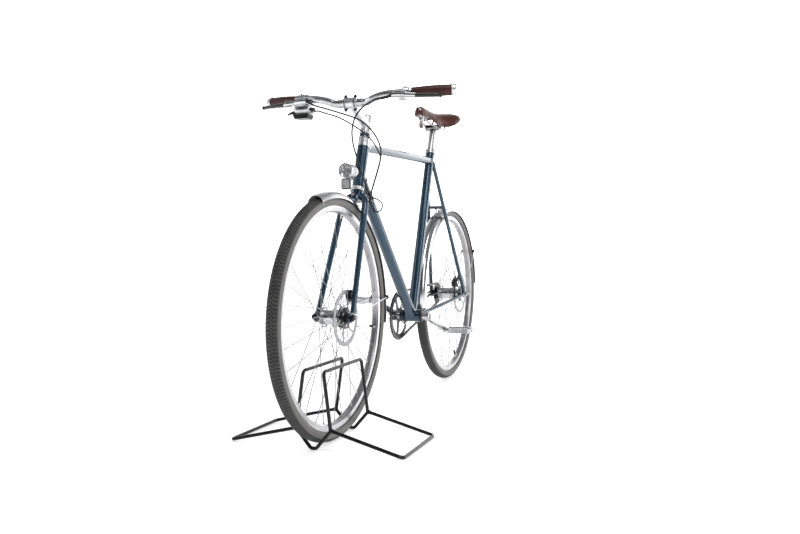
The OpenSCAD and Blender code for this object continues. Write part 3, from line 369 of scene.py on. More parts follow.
def reflector_look(name):
    """Grey prism plate under clear plastic."""
    m, t = new_material(name)
    web = remap(t, cells(t, 420, randomness=0.15), 0, 1, 0.02, 0.12)
    shade = noise(t, 90, 2)
    body = mix(t, remap(t, shade, 0, 1), (0.28, 0.28, 0.3), (0.46, 0.46, 0.48))
    fill(t, {
        "Base Color": mix(t, web, (0.62, 0.63, 0.65), body),
        "Roughness": remap(t, shade, 0.08, 0.2),
        "Metallic": 0.35,
        "Coat Weight": 0.8,
        "Normal": bump(t, web, 0.4, 0.2),
    })
    return m


def clear_lens(name):
    """Clear plastic: see-through, under a glossy coat."""
    m, t = new_material(name)
    glare = noise(t, 60, 2)
    fill(t, {
        "Base Color": mix(t, glare, (0.9, 0.92, 0.95), (0.97, 0.97, 0.98)),
        "Roughness": remap(t, glare, 0.01, 0.04),
        "Alpha": 0.16,
        "Coat Weight": 1.0,
    })
    return m


NAVY_DARK, NAVY_LIGHT = (0.006, 0.031, 0.06), (0.01, 0.046, 0.086)
SILVER = finish((0.55, 0.56, 0.58), (0.74, 0.75, 0.76), (0.12, 0.22), 1.0)
SOOT = finish((0.004, 0.004, 0.005), (0.013, 0.013, 0.014), (0.26, 0.38))


def head_paint(name):
    """The frame's paint with a polished band at the top of the head tube."""
    navy = finish(NAVY_DARK, NAVY_LIGHT, (0.24, 0.32), 0.62)
    band = finish((0.72, 0.73, 0.75), (0.86, 0.87, 0.88), (0.24, 0.34), 1.0)
    return layered(name, navy, band, along_head, grain=10, depth=0.003, coat=0.75)


def wheel_looks(side, hub):
    """The finishes of one wheel and its mudguard, by the second part of the nodes' names."""
    turned = wheel_flow(hub, 0.8, 300)
    # Painted shade: this darker brownish grey goes on the mudguard's inside, under the guard over the tyre,
    # while the outside is silver.
    shaded_underside = finish((0.26, 0.25, 0.24), (0.4, 0.385, 0.37), (0.3, 0.45), 0.6)
    bed = finish((0.26, 0.255, 0.27), (0.58, 0.57, 0.59), (0.22, 0.34), 0.9)
    wall = finish((0.4, 0.4, 0.42), (0.62, 0.62, 0.64), (0.2, 0.32), 1.0)
    disc = finish((0.2, 0.2, 0.21), (0.34, 0.34, 0.35), (0.24, 0.36), 1.0)
    slots = inside_radius(hub, 0.0335)
    return {
        "mudguard": layered(side + "_guard_metal", SILVER, shaded_underside, guard_inside(hub), turned, depth=0.01),
        "rim": layered(side + "_rim_alloy", wall, bed, inside_radius(hub, 0.3025), turned),
        "rotor": layered(side + "_rotor_steel", disc, SOOT, slots, wheel_flow(hub, 0.8, 500)),
        "tyre": tyre_look(side + "_tyre_rubber", hub),
    }


PAINT = flake_paint("blue_paint", NAVY_DARK, NAVY_LIGHT)
HEAD_PAINT = head_paint("blue_paint_banded")
POLISHED = surface(
    "polished_alloy", (0.46, 0.465, 0.475), (0.64, 0.645, 0.655), (0.17, 0.27), 1.0,
    grain=30, fine=700, depth=0.004)
CHROME = surface(
    "chrome", (0.5, 0.505, 0.515), (0.68, 0.685, 0.695), (0.08, 0.15), 1.0,
    grain=24, fine=500, depth=0.002)
STEEL = surface(
    "steel", (0.42, 0.43, 0.45), (0.66, 0.67, 0.68), (0.2, 0.32), 1.0,
    grain=60, fine=1200, depth=0.02)
SPOKE = surface(
    "spoke_steel", (0.18, 0.183, 0.19), (0.34, 0.344, 0.352), (0.22, 0.34), 1.0,
    grain=60, fine=1200, depth=0.01)
BLACK = surface(
    "black_metal", (0.004, 0.004, 0.005), (0.014, 0.014, 0.015), (0.22, 0.34),
    grain=50, depth=0.03, shine=0.45)
PLASTIC = surface(
    "black_plastic", (0.006, 0.006, 0.006), (0.014, 0.014, 0.015), (0.36, 0.48),
    grain=70, depth=0.05, shine=0.35)
CABLE = surface(
    "cable_sheath", (0.004, 0.004, 0.004), (0.01, 0.01, 0.011), (0.24, 0.34),
    grain=90, depth=0.02, shine=0.35)
STAND = surface(
    "stand_coating", (0.003, 0.003, 0.003), (0.008, 0.008, 0.009), (0.16, 0.26),
    grain=60, fine=1100, depth=0.03, shine=0.35)
CHAIN = surface(
    "chain_steel", (0.07, 0.065, 0.06), (0.26, 0.25, 0.235), (0.26, 0.42), 1.0,
    grain=300, fine=2000, depth=0.03)
SATIN = surface(
    "satin_alloy", (0.6, 0.605, 0.615), (0.76, 0.765, 0.775), (0.3, 0.4), 1.0,
    grain=30, fine=700, depth=0.004)
RAIL = surface(
    "saddle_steel", (0.2, 0.2, 0.205), (0.42, 0.42, 0.43), (0.1, 0.2), 1.0,
    grain=60, depth=0.01)
DARK_CHROME = surface(
    "dark_chrome", (0.12, 0.12, 0.13), (0.3, 0.3, 0.31), (0.08, 0.16), 1.0,
    grain=60, depth=0.01)
THREAD = surface(
    "tan_thread", (0.3, 0.16, 0.08), (0.45, 0.27, 0.15), (0.6, 0.75), grain=300, fine=2500)
RIVET = surface(
    "rivet_metal", (0.6, 0.58, 0.55), (0.8, 0.78, 0.74), (0.12, 0.22), 1.0, grain=200, depth=0.01)
GLASS = surface(
    "dark_glass", (0.01, 0.011, 0.013), (0.02, 0.022, 0.025), (0.03, 0.07),
    coat=1.0, grain=80, depth=0)
FACETS = surface(
    "lamp_facets", (0.5, 0.51, 0.53), (0.9, 0.9, 0.92), (0.04, 0.12), 1.0, grain=120, depth=0)
LENS = clear_lens("lamp_lens")
LEATHER = leather("brown_leather", (0.05, 0.012, 0.008), (0.1, 0.023, 0.015), 260, 0.14)
GRIP_LEATHER = leather("grip_leather", (0.03, 0.009, 0.007), (0.065, 0.018, 0.014), 330)
REFLECTOR = reflector_look("reflector_plate")
SHIFTER = layered("shifter_finish", SOOT, SILVER, above_z(0.9485), coat=0.1)
LEVER_LOOK = layered("lever_finish", SILVER, SOOT, beyond_y(0.212), coat=0.2)
FRONT_HUB = layered("front_hub_finish", SILVER, SOOT, beyond_y(0.036), wheel_flow(FRONT, 0.6, 90))
REAR_HUB = layered("rear_hub_finish", SILVER, SOOT, drive_side, wheel_flow(REAR, 0.6, 90))
WHEEL_LOOKS = {"front": wheel_looks("front", FRONT), "rear": wheel_looks("rear", REAR)}

LOOKS = {
    PAINT: """top_tube down_tube seat_tube bottom_bracket chainstays seatstays stay_bridges
        dropouts fork_crown fork_blades fork_dropouts stem_spacer""",
    HEAD_PAINT: "head_tube",
    SATIN: "seatpost stem headset seat_clamp bar_end_caps headlamp",
    RAIL: "saddle_frame",
    POLISHED: "handlebar cranks pedal_left pedal_right",
    CHROME: "rear_mudguard_stays front_mudguard_stays",
    STEEL: "lamp_bracket rear_axle",
    SPOKE: "front_spokes rear_spokes",
    BLACK: "rear_caliper front_caliper rear_sprocket chainring front_axle",
    LEVER_LOOK: "brake_levers",
    CABLE: "rear_brake_hose gear_cable front_brake_hose",
    LEATHER: "saddle",
    GRIP_LEATHER: "grips",
    SHIFTER: "gear_shifter",
    REFLECTOR: "front_reflector",
    STAND: "stand_uprights stand_cradle stand_foot_left stand_foot_right",
    CHAIN: "chain",
    FRONT_HUB: "front_hub",
    REAR_HUB: "rear_hub",
}
for side_name, looks in WHEEL_LOOKS.items():
    LOOKS.update({look: side_name + "_" + part for part, look in looks.items()})
for look, names in LOOKS.items():
    for name in names.split():
        nodes[name].data.materials.clear()
        nodes[name].data.materials.append(look)


# Building blocks
class Batch:
    """Collects plain forms into one mesh: places in metres, and the forms' sizes in millimetres."""

    def __init__(self):
        self.v, self.f = [], []

    def add(self, verts, faces):
        base = len(self.v)
        self.v += [tuple(p) for p in verts]
        self.f += [tuple(base + i for i in f) for f in faces]

    def lathe(self, at, axis, profile, sides=24):
        """profile is (radius, height) pairs along the axis; a radius of 0 closes it."""
        w = Vector(axis).normalized()
        u = w.orthogonal().normalized()
        v = w.cross(u)
        verts, faces, rows = [], [], []
        for r, h in profile:
            middle = at + w * h / 1000
            if r == 0:
                rows.append([len(verts)])
                verts.append(middle)
                continue
            rows.append([len(verts) + k for k in range(sides)])
            for k in range(sides):
                a = 2 * math.pi * k / sides
                verts.append(middle + r / 1000 * (math.cos(a) * u + math.sin(a) * v))
        for p, q in zip(rows, rows[1:]):
            for k in range(sides):
                n = (k + 1) % sides
                if len(p) == 1:
                    faces.append((p[0], q[n], q[k]))
                elif len(q) == 1:
                    faces.append((p[k], p[n], q[0]))
                else:
                    faces.append((p[k], p[n], q[n], q[k]))
        self.add(verts, faces)

    def tube(self, path, radius, sides=10, flat=1.0, up=None):
        """A round bar along a path; radius may be one for each point, and flat squeezes it along up."""
        n = len(path)
        radii = radius if hasattr(radius, "__len__") else [radius] * n
        tangents = [(path[min(i + 1, n - 1)] - path[max(i - 1, 0)]).normalized() for i in range(n)]
        across = up or tangents[0].orthogonal()
        verts, faces = [], []
        for p, r, along in zip(path, radii, tangents):
            across = (across - across.dot(along) * along).normalized()
            side = along.cross(across)
            for k in range(sides):
                a = 2 * math.pi * k / sides
                verts.append(p + r / 1000 * (flat * math.cos(a) * across + math.sin(a) * side))
        for i in range(0, (n - 1) * sides, sides):
            for k in range(sides):
                m = (k + 1) % sides
                faces.append((i + k, i + m, i + sides + m, i + sides + k))
        faces.append(tuple(reversed(range(sides))))
        faces.append(tuple((n - 1) * sides + k for k in range(sides)))
        self.add(verts, faces)

    def box(self, at, size, x=X, y=Y, bevel=0.8, segments=2):
        bm = bmesh.new()
        bmesh.ops.create_cube(bm, size=1)
        for v in bm.verts:
            v.co = Vector(v.co[i] * size[i] / 1000 for i in range(3))
        if bevel:
            bmesh.ops.bevel(
                bm, geom=list(bm.edges), offset=bevel / 1000, segments=segments, profile=0.5,
                affect="EDGES")
        ex = Vector(x).normalized()
        ey = (Vector(y) - Vector(y).dot(ex) * ex).normalized()
        ez = ex.cross(ey)
        bm.verts.index_update()
        verts = [at + v.co.x * ex + v.co.y * ey + v.co.z * ez for v in bm.verts]
        self.add(verts, [[v.index for v in f.verts] for f in bm.faces])
        bm.free()

    def bolt(self, at, axis, r, h, hexagon=False):
        """A cap screw's head with its socket, or a hexagon nut's head."""
        if hexagon:
            self.lathe(at, axis, [(0, 0), (r, 0), (r, h * 0.85), (r * 0.85, h), (0, h)], 6)
        else:
            self.lathe(at, axis, [(0, 0), (r, 0), (r, h * 0.8), (r * 0.86, h), (r * 0.55, h)], 20)
            self.lathe(at, axis, [(r * 0.55, h), (r * 0.5, h * 0.45), (0, h * 0.4)], 6)

    def notches(self, centre, count, r, size, bevel=0.3):
        """Small blocks round the rim of a turned form, at a radius in metres."""
        for k in range(count):
            out = radial(360 * k / count)
            self.box(centre + r * out, size, out, Y, bevel)

    def done(self, name, look, body, angle=35):
        mesh = bpy.data.meshes.new(name)
        mesh.from_pydata(self.v, [], self.f)
        bm = bmesh.new()
        bm.from_mesh(mesh)
        bmesh.ops.recalc_face_normals(bm, faces=bm.faces)
        bm.to_mesh(mesh)
        bm.free()
        for p in mesh.polygons:
            p.use_smooth = True
        mesh.set_sharp_from_angle(angle=math.radians(angle))
        mesh.materials.append(look)
        o = bpy.data.objects.new(name, mesh)
        scene.collection.objects.link(o)
        if body:
            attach(o, body)
        return o


def turned(name, look, body, at, axis, profile, sides):
    """A piece that is one turned form."""
    b = Batch()
    b.lathe(at, axis, profile, sides)
    b.done(name, look, body)


def band(inner, outer, half, lip):
    """Profile of a ring with a crowned rim."""
    return [(inner, -half), (outer, -half), (outer + lip, 0), (outer, half), (inner, half)]


def bead(inner, outer):
    """Profile of a thin ring round a tube."""
    return [(inner, -0.8), (outer, -0.6), (outer, 0.6), (inner, 0.8)]


def spline(points, steps):
    """Catmull-Rom through the points, as in the part's source."""
    p, out = [Vector(q) for q in points], []
    for i in range(len(p) - 1):
        a, b, c, d = p[max(i - 1, 0)], p[i], p[i + 1], p[min(i + 2, len(p) - 1)]
        square, cube = 2 * a - 5 * b + 4 * c - d, 3 * b - a - 3 * c + d
        for k in range(steps):
            u = k / steps
            out.append((2 * b + (c - a) * u + square * u * u + cube * u ** 3) / 2)
    return out + [p[-1]]


# Tyres: a carcass with sidewall ribs and a band of tread blocks
TREAD_ROWS = 220
# Each column: its two edges in degrees round the section, its slant and its offset, in block pitches
TREAD_COLUMNS = [
    (-58, -44, 0.1, 0.5), (-41, -26, -0.55, 0.2), (-23, -9, 0.55, 0.0), (-6.5, 6.5, 0.0, 0.25),
    (9, 23, -0.55, 0.0), (26, 41, 0.55, 0.2), (44, 58, -0.1, 0.5)
]


def on_section(angle, r):
    """Radius and y of a point of the tyre's section, with the angle from the tread's middle."""
    a = math.radians(angle)
    return SECTION_C + r * math.cos(a), r * math.sin(a)


def tyre_profile():
    outer = []
    for angle in range(-128, 129, 4):
        a = abs(angle)
        lift = -0.0011 if a <= 60 else -0.0011 * max(0, (66 - a) / 6)
        if a in (72, 80, 108, 116):
            lift -= 0.0004
        outer.append(on_section(angle, SECTION_R + lift))
    return outer + [on_section(angle, 0.0156) for angle in range(128, -129, -16)]


def tread_block(centre, u, column, step):
    low, high, slant, offset = column
    if slant:
        quad = [(0, low), (0.7, low), (0.7 + slant, high), (slant, high)]
    else:
        quad = [(0, low), (0.62, low), (0.8, 0), (0.62, high), (0, high), (0.18, 0)]
    n = len(quad)
    quad = [(u + q[0] * step, q[1]) for q in quad]
    cu = sum(q[0] for q in quad) / n
    cv = sum(q[1] for q in quad) / n

    def point(q, r, shrink):
        place = on_section(cv + (q[1] - cv) * shrink, r)
        return around(centre, cu + (q[0] - cu) * shrink, *place)

    verts = [point(q, SECTION_R - 0.0014, 1.0) for q in quad]
    verts += [point(q, SECTION_R - 0.00002, 0.88) for q in quad]
    faces = [tuple(range(n, 2 * n))] + [(k, (k + 1) % n, n + (k + 1) % n, n + k) for k in range(n)]
    return verts, faces


def tyre(side, centre):
    b = Batch()
    ring, count = tyre_profile(), 200
    m = len(ring)
    verts = [around(centre, 360 * i / count, r, y) for i in range(count) for r, y in ring]
    faces = []
    for i in range(count):
        here, ahead = i * m, (i + 1) % count * m
        faces += [(here + k, here + (k + 1) % m, ahead + (k + 1) % m, ahead + k) for k in range(m)]
    b.add(verts, faces)
    step = 360 / TREAD_ROWS
    for i in range(TREAD_ROWS):
        for column in TREAD_COLUMNS:
            b.add(*tread_block(centre, (i + column[3]) * step, column, step))
    o = b.done(side + "_tyre_tread", WHEEL_LOOKS[side]["tyre"], side + "_wheel", 50)
    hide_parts(side + "_tyre")


tyre("front", FRONT)
tyre("rear", REAR)


# Spoke nipples, spoke heads and valves
def lacing(centre, flange_r, flange_y, side):
    """Nipples and heads at the two ends of the spokes, 32 to a wheel."""
    nipples, heads = Batch(), Batch()
    hole_r = flange_r - 0.004
    barrel = [(0, 0), (2.1, 0), (2.1, 3), (1.7, 3.8), (1.7, 10.5), (1.2, 12), (0, 12)]
    dome = [(0, 0), (1.9, 0), (1.7, 0.7), (0.9, 1.1), (0, 1.2)]
    for row in (0, 1):
        for k in range(16):
            head = 1 if k % 2 == 0 else -1
            a = 22.5 * k + row * 11.25
            outside = (head > 0) == (row == 0)
            y = flange_y[row] + head * (0.0025 + (0.0012 if outside else 0.0001))
            p = around(centre, a, hole_r, y)
            q = around(centre, a + head * 67.5, 0.2977, 0.0025 if row == 0 else -0.0025)
            d = (q - p).normalized()
            nipples.lathe(q + d * 0.0005, -d, barrel, 10)
            back = around(centre, a, hole_r, flange_y[row] - head * 0.0022)
            heads.tube([p, (p + back) / 2, back], 1, 8)
            heads.lathe(back, -head * Y, dome, 12)
    nipples.done(side + "_nipples", CHROME, side + "_wheel")
    heads.done(side + "_spoke_heads", STEEL, side + "_wheel")


def valve(centre, angle, side):
    place = side + "_wheel", around(centre, angle, 0.298), -radial(angle)
    stem = [(0, -2), (4.5, -2), (4.5, 1.5), (3.2, 3), (3, 16), (0, 16)]
    cap = [(0, 15), (4, 15), (4.2, 18), (3.9, 31), (3, 34), (0, 34.5)]
    turned(side + "_valve", STEEL, *place, stem, 16)
    turned(side + "_valve_cap", PLASTIC, *place, cap, 12)


lacing(FRONT, 0.030, (0.026, -0.029), "front")
lacing(REAR, 0.033, (0.030, -0.030), "rear")
valve(FRONT, 191, "front")
valve(REAR, 250, "rear")


# Cables along the routes of the part's source
def shifted(origin, points):
    return [origin + mm(*p) for p in points]


def on_down_tube(s, turn, r):
    """A place at a distance from the down tube's skin, turned from its left side towards its underside."""
    a = math.radians(turn)
    return DOWN_TOP + s * DOWN_DIR + (0.0192 + r) * (math.cos(a) * Y + math.sin(a) * DOWN_UNDER)


def cable(name, points, radius, stands_for, bends):
    path = spline(points, 6)
    b = Batch()
    b.tube(path, radius, 12)
    o = b.done(name, CABLE, None if bends else "steering", 60)
    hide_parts(stands_for)
    if bends:
        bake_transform(o)
    return path


rear_hose = cable("rear_hose_sheath", shifted(BAR, [
    (18, -137.2, 12), (8, -118, 0), (-9, -91, -8), (-1, -37, -26), (3, 14, -44), (-5, 43, -62),
    (-17, 60, -82), (-35, 71, -107), (-51, 74, -135)
]) + shifted(DOWN_TOP, [(-3, 68, 50), (-16, 50, 7)]) + [
    on_down_tube(0.064, 23, 0.0025)
], 2.5, "rear_brake_hose", True)
shift_cable = cable("gear_cable_sheath", shifted(BAR, [
    (-11, -139.4, -20), (-9, -118, -14), (-9, -91, -22), (-1, -37, -41), (1, 13, -69),
    (-9, 41, -91), (-25, 60, -114)
]) + shifted(DOWN_TOP, [(15, 70, 72), (11, 73, 50), (-1, 55, 6)]) + [
    on_down_tube(0.074, 58, 0.012), on_down_tube(0.094, 50, 0.00225)
], 2.25, "gear_cable", True)
front_hose = cable("front_hose_sheath", shifted(BAR, [
    (18, 137.2, 12), (14, 110, 5), (19, 84, 2), (13, 41, -18), (15, 19, -47), (15, 10, -81),
    (11, 11, -119), (3, 20, -162), (-5, 33, -212)
]) + shifted(CROWN, [(20, 45, 17), (10, 50, 1), (4, 46, -15), (8, 37, -40)])
    + shifted(BLADE_LOW, [(-109, -15, 223), (-79, -11, 148), (-52, -9, 80)]) + [
    around(FRONT, 126, 0.0862, 0.039)
], 2.5, "front_brake_hose", False)


def boot(b, path, first, second, long=22):
    """A ribbed rubber boot over the end of a hose."""
    d = (path[second] - path[first]).normalized()
    profile = [(0, -2), (4.8, -2), (5, 2)]
    for i in range(5):
        h, thin = 3 + i * long / 6, 0.2 * i
        profile += [(4.6 - thin, h), (4 - thin, h + long / 18), (4.4 - thin, h + long / 9)]
    b.lathe(path[first], d, profile + [(2.9, long), (0, long)], 16)


def hose_ends():
    held = Batch()
    boot(held, rear_hose, 0, 2)
    boot(held, front_hose, 0, 2)
    boot(held, front_hose, -1, -3, 16)
    held.done("hose_boots", PLASTIC, "steering")
    barrel = [(0, -1), (4.2, -1), (4.2, 8), (3.4, 9), (3.2, 15), (0, 15)]
    start = shift_cable[0]
    turned("shift_adjuster", CHROME, "steering", start, shift_cable[2] - start, barrel, 14)
    grommets = Batch()
    sleeve = [(0, -3), (6, -3), (6.2, 2), (4.5, 5), (3.2, 12), (0, 12)]
    for path in (rear_hose, shift_cable):
        grommets.lathe(path[-1], path[-3] - path[-1], sleeve, 16)
    grommets.done("cable_grommets", PLASTIC, "frame")


hose_ends()


# Stem and headset
def stem_hoops():
    """Two wire hoops that hold the bar, with the blocks and bolts at their ends."""
    black, wires = Batch(), Batch()
    for side in (-1, 1):
        centre = BAR + side * 0.0155 * Y
        wires.tube([centre + 0.0176 * radial(a) for a in range(90, 451, 12)], 2.4, up=Y)
        for up in (1, -1):
            black.box(centre + mm(3, 0, 19 * up), (9, 9, 5), bevel=1.2)
            black.bolt(centre + mm(3, 0, 21 * up), up * Z, 3.4, 3.4)
    black.box(steer(0.611) - FORE * 0.0215, (6, 1.2, 36), FORE, Y, 0.2)
    black.done("stem_hoop_bolts", BLACK, "steering")
    wires.done("stem_hoops", DARK_CHROME, "steering")


def stem_clamp():
    lugs, bolts, rings = Batch(), Batch(), Batch()
    lug = [(0, 0), (5.2, 0), (5.5, 1.5), (5.5, 17.5), (5.2, 19), (0, 19)]
    for s in (0.6, 0.622):
        behind = steer(s) - FORE * 0.0185
        lugs.lathe(behind - Y * 0.0095, Y, lug, 20)
        bolts.bolt(behind + Y * 0.0095, Y, 3.6, 2.8)
    bolts.bolt(steer(0.6525), HEAD, 5.8, 2.4)
    for s, r in ((0.5735, 18.8), (0.588, 17.8), (0.403, 21.5)):
        rings.lathe(steer(s), HEAD, band(r - 3, r, 1.2, 0.4), 40)
    lugs.done("stem_clamp_lugs", POLISHED, "steering")
    bolts.done("stem_bolts", BLACK, "steering")
    rings.done("headset_rings", POLISHED, "steering")


stem_hoops()
stem_clamp()


# Grips, brake levers and shifter
def grip_point(side, s, turn, r):
    """A place on a grip: along it from its inner end, and round it."""
    root = BAR_TIP - GRIP_DIR * GRIP_L
    u = GRIP_DIR.cross(Z).normalized()
    v = GRIP_DIR.cross(u)
    return on_side(side, root + GRIP_DIR * s + r * (math.cos(turn) * u + math.sin(turn) * v))


def grip_trim():
    """Crossed stitches along the grips' seams, and a rolled edge at each end."""
    thread, edges = Batch(), Batch()
    for side in (-1, 1):
        for k in range(30):
            s = 0.006 + 0.0036 * k
            bulge = GRIP_R - 0.0022 + 0.0021 * math.sin(math.pi * min(1.0, s / 0.125))
            for turn, lean in ((1.48, 0.1), (1.66, -0.1)):
                thread.tube([
                    grip_point(side, s, turn - lean, bulge),
                    grip_point(side, s + 0.0012, turn, bulge + 0.0006),
                    grip_point(side, s + 0.0024, turn + lean, bulge)
                ], 0.4, 6)
        for s, r in ((0.002, GRIP_R - 0.0026), (0.1145, GRIP_R - 0.0002)):
            path = [grip_point(side, s, 2 * math.pi * k / 36, r) for k in range(37)]
            edges.tube(path, 0.9, 8, up=GRIP_DIR)
    thread.done("grip_stitches", THREAD, "steering")
    edges.done("grip_edges", GRIP_LEATHER, "steering")


def lever_parts():
    silver, black = Batch(), Batch()
    angles = (-1.1, -0.7, -0.3, 0.1, 0.5, 0.9, 1.2)
    ball = [(0, -5.8)] + [(5.8 * math.cos(a), 5.8 * math.sin(a)) for a in angles] + [(0, 5.8)]
    for side in (-1, 1):
        def at(x, y, z, base=LEVER):
            return on_side(side, base + mm(x, y, z))

        def root(x, y, z):
            return at(x, y, z, LEVER_ROOT)

        along = on_side(side, GRIP_DIR)
        silver.box(at(30, -11, -0.5), (19, 34, 3.5), bevel=1.4, segments=3)
        for y in (-25, 3):
            black.bolt(at(30, y, 1), Z, 2.5, 1.4)
        silver.lathe(root(0, 0, 0), Z, [(0, 6.5), (6.5, 6.5), (6.8, 8), (6, 9.8), (0, 10.2)], 24)
        black.bolt(root(0, 0, 10), Z, 3.2, 1.4)
        for up in (1, -1):
            black.bolt(at(7, 0, 15.5 * up), up * Z, 3, 2.8)
        for way in (-1, 1):
            silver.lathe(at(0, 0, 0) + along * 0.0092 * way, along, band(12.1, 16.3, 0.8, 0.3), 36)
        black.lathe(root(5, 116, -9), Z, ball, 20)
        blade = [root(2, 6, 4), root(9, 34, 1), root(9, 74, -2.2), root(6, 108, -4.4)]
        silver.tube(spline(blade, 6), 1.2, 8)
        silver.box(at(25, 20, -13), (17, 46, 14), (1, 0.25, 0), (-0.25 * side, 1, -0.08), 5, 4)
        silver.box(at(12, -4, -15), (30, 26, 20), bevel=7, segments=4)
    silver.done("lever_metalwork", POLISHED, "steering")
    black.done("lever_bolts", BLACK, "steering")


def shifter_parts():
    def place(x, y, z):
        return mirrored(LEVER - GRIP_DIR * 0.017 + mm(x, y, z))

    top, black, window = Batch(), Batch(), Batch()
    top.box(place(-4, 14, -34.6), (34, 50, 3), bevel=1.2, segments=3)
    top.box(place(4, 8, -29), (36, 52, 24), bevel=7.5, segments=4)
    black.lathe(place(6, -22, -32), Y, [(0, -9), (5.2, -9), (6.2, 0), (5.2, 9), (0, 9)], 20)
    for y, z, reach in ((34, -40, 24), (26, -36, 25.6)):
        lever = [place(8, y - 6, z), place(16, y + 3, z - 1), place(14, y + 16, z - 3)]
        lever.append(place(10, y + reach, z - 4))
        black.tube(spline(lever, 5), [3] * 8 + [3.6] * 8, 10, 0.6)
    for y in (-2, 31):
        black.bolt(place(-4, y, -33.1), Z, 2.6, 1.4)
    black.lathe(place(-8, 0, -25), Y, [(0, -7), (4.2, -7), (4.2, 7), (0, 7)], 16)
    window.box(place(-4, 14, -32.9), (12, 26, 1.2), bevel=0.5)
    top.done("shifter_plate", POLISHED, "steering")
    black.done("shifter_levers", BLACK, "steering")
    window.done("shifter_window", GLASS, "steering")


grip_trim()
lever_parts()
shifter_parts()


# Headlamp and reflector
def lamp_facets():
    """Ten facets a ring, each raised to a point at its middle."""
    bowl = Batch()
    rings = [(19.9, -3.8), (17.2, -7.8), (13.2, -13.2), (8, -17.1), (3.4, -18.8)]
    for turn, (outer, inner) in enumerate(zip(rings, rings[1:])):
        for k in range(10):
            a, b = (2 * math.pi * (k + 0.5 * turn + j) / 10 for j in (0, 1))
            quad = [
                LAMP + mm(h, r * math.cos(angle), r * math.sin(angle))
                for (r, h), angle in ((outer, a), (outer, b), (inner, b), (inner, a))
            ]
            point = sum(quad, Vector()) / 4 + mm(0.9, 0, 0)
            bowl.add(quad + [point], [(0, 1, 4), (1, 2, 4), (2, 3, 4), (3, 0, 4)])
    bowl.done("lamp_facets", FACETS, "steering", 1)


def lamp_glass():
    bezel, bulb = Batch(), Batch()
    bezel.lathe(LAMP, X, [(20.2, -4.2), (21.4, -2.8), (21.7, -0.2), (21, 0), (20.3, -0.8)], 48)
    for h in (-9.5, -33.5):
        bezel.lathe(LAMP + mm(h, 0, 0), X, bead(20.5, 21.8), 48)
    bezel.done("lamp_bezel", CHROME, "steering")
    dome = [(19.7, -3.6), (18.5, -2.8), (14, -1.7), (8, -1.1), (0, -0.9)]
    turned("lamp_lens", LENS, "steering", LAMP, X, dome, 40)
    holder = [(0, 0), (3.6, 0), (3.6, 6), (2.8, 7.5), (2.6, 11.5), (0, 12.5)]
    bulb.lathe(LAMP - mm(20, 0, 0), X, holder, 20)
    bulb.box(LAMP - mm(12, 0, 0), (4, 38, 1.6), bevel=0.4)
    bulb.done("lamp_bulb", BLACK, "steering")


def lamp_fixings():
    b = Batch()
    low = LAMP - mm(36, 0, 22.5)
    b.box(low, (14, 11, 7), bevel=1.6, segments=3)
    b.bolt(low + mm(0, 5.5, -1), Y, 3.4, 2.6)
    b.bolt(low - mm(0, 5.5, 1), -Y, 3.4, 2.6, True)
    b.bolt(CROWN + FORE * 0.0205 + mm(6, 0, 0), FORE, 5.5, 4, True)
    b.lathe(LAMP - mm(66.3, 0, 0), -X, [(0, -1), (4.8, -1), (4.8, 1), (4, 2), (0, 2)], 20)
    b.done("lamp_fixings", CHROME, "steering")


def reflector_frame():
    b = Batch()
    corners = [v.co for v in nodes["front_reflector"].data.vertices]
    low, high = (Vector([end(c[i] for c in corners) for i in range(3)]) for end in (min, max))
    wide, tall = 1000 * (high.y - low.y), 1000 * (high.z - low.z)
    face = Vector((high.x - 0.0014, (low.y + high.y) / 2, (low.z + high.z) / 2))
    for side in (-1, 1):
        b.box(face + mm(0, side * (wide / 2 - 1.5), 0), (3.8, 4, tall - 5), bevel=1.2)
        b.box(face + mm(0, 0, side * (tall / 2 - 1.5)), (3.8, wide - 5, 4), bevel=1.2)
    b.done("reflector_frame", PLASTIC, "steering")


def small_wires():
    """The lamp's wire, and the bow of cable at the down tube with its two clips."""
    wire, bow = Batch(), Batch()
    loop = [(20, 9, 54), (6, 17, 38), (-8, 22, 20), (-16, 20, 6), (-20, 17, -4)]
    wire.tube(spline(shifted(CROWN, loop), 6), 1.3, 8)
    wire.done("lamp_wire", CABLE, "steering")
    ends = ((0.08, 8), (0.124, 40))
    first, last = (on_down_tube(s, turn, 0.001) for s, turn in ends)
    route = [mm(293, 34, 694), mm(270, 39, 684), mm(262, 38, 672), mm(268, 36, 661), mm(286, 30, 655)]
    bow.tube(spline([first] + route + [last], 6), 2.4)
    for end in (first, last):
        bow.box(end, (14, 6, 5), DOWN_DIR, Y, 1.6, 3)
    bow.done("down_tube_cable_bow", CABLE, "frame")


lamp_facets()
lamp_glass()
lamp_fixings()
reflector_frame()
small_wires()


# Mudguards: stay clips, stay eyes, rivets and rolled edges
def guard_parts(side, centre, stay_at, eye, body):
    trim, metal = Batch(), Batch()
    out = radial(stay_at)
    for way in (-1, 1):
        top = around(centre, stay_at, GUARD_C + 0.0068, way * 0.0262)
        trim.box(top, (13, 6.8, 9.5), (-out.z, 0, out.x), way * Y, 1.4, 3)
        trim.bolt(top + way * Y * 0.0034, way * Y, 3.2, 2.2, True)
        low = centre + mm(eye[0], way * eye[1], eye[2])
        metal.lathe(low, way * Y, [(2.2, -2), (5.8, -2), (5.8, 2), (2.2, 2), (2.2, -2)], 24)
        trim.bolt(low + way * Y * 0.002, way * Y, 4.2, 3, True)
    rivet = [(0, -0.6), (3, -0.6), (2.6, 0.8), (1.2, 1.4), (0, 1.5)]
    for angle in (stay_at - 4, stay_at + 4):
        metal.lathe(around(centre, angle, GUARD_C + 0.0244), radial(angle), rivet, 16)
    trim.done(side + "_stay_clips", BLACK, body)
    metal.done(side + "_stay_eyes", CHROME, body)


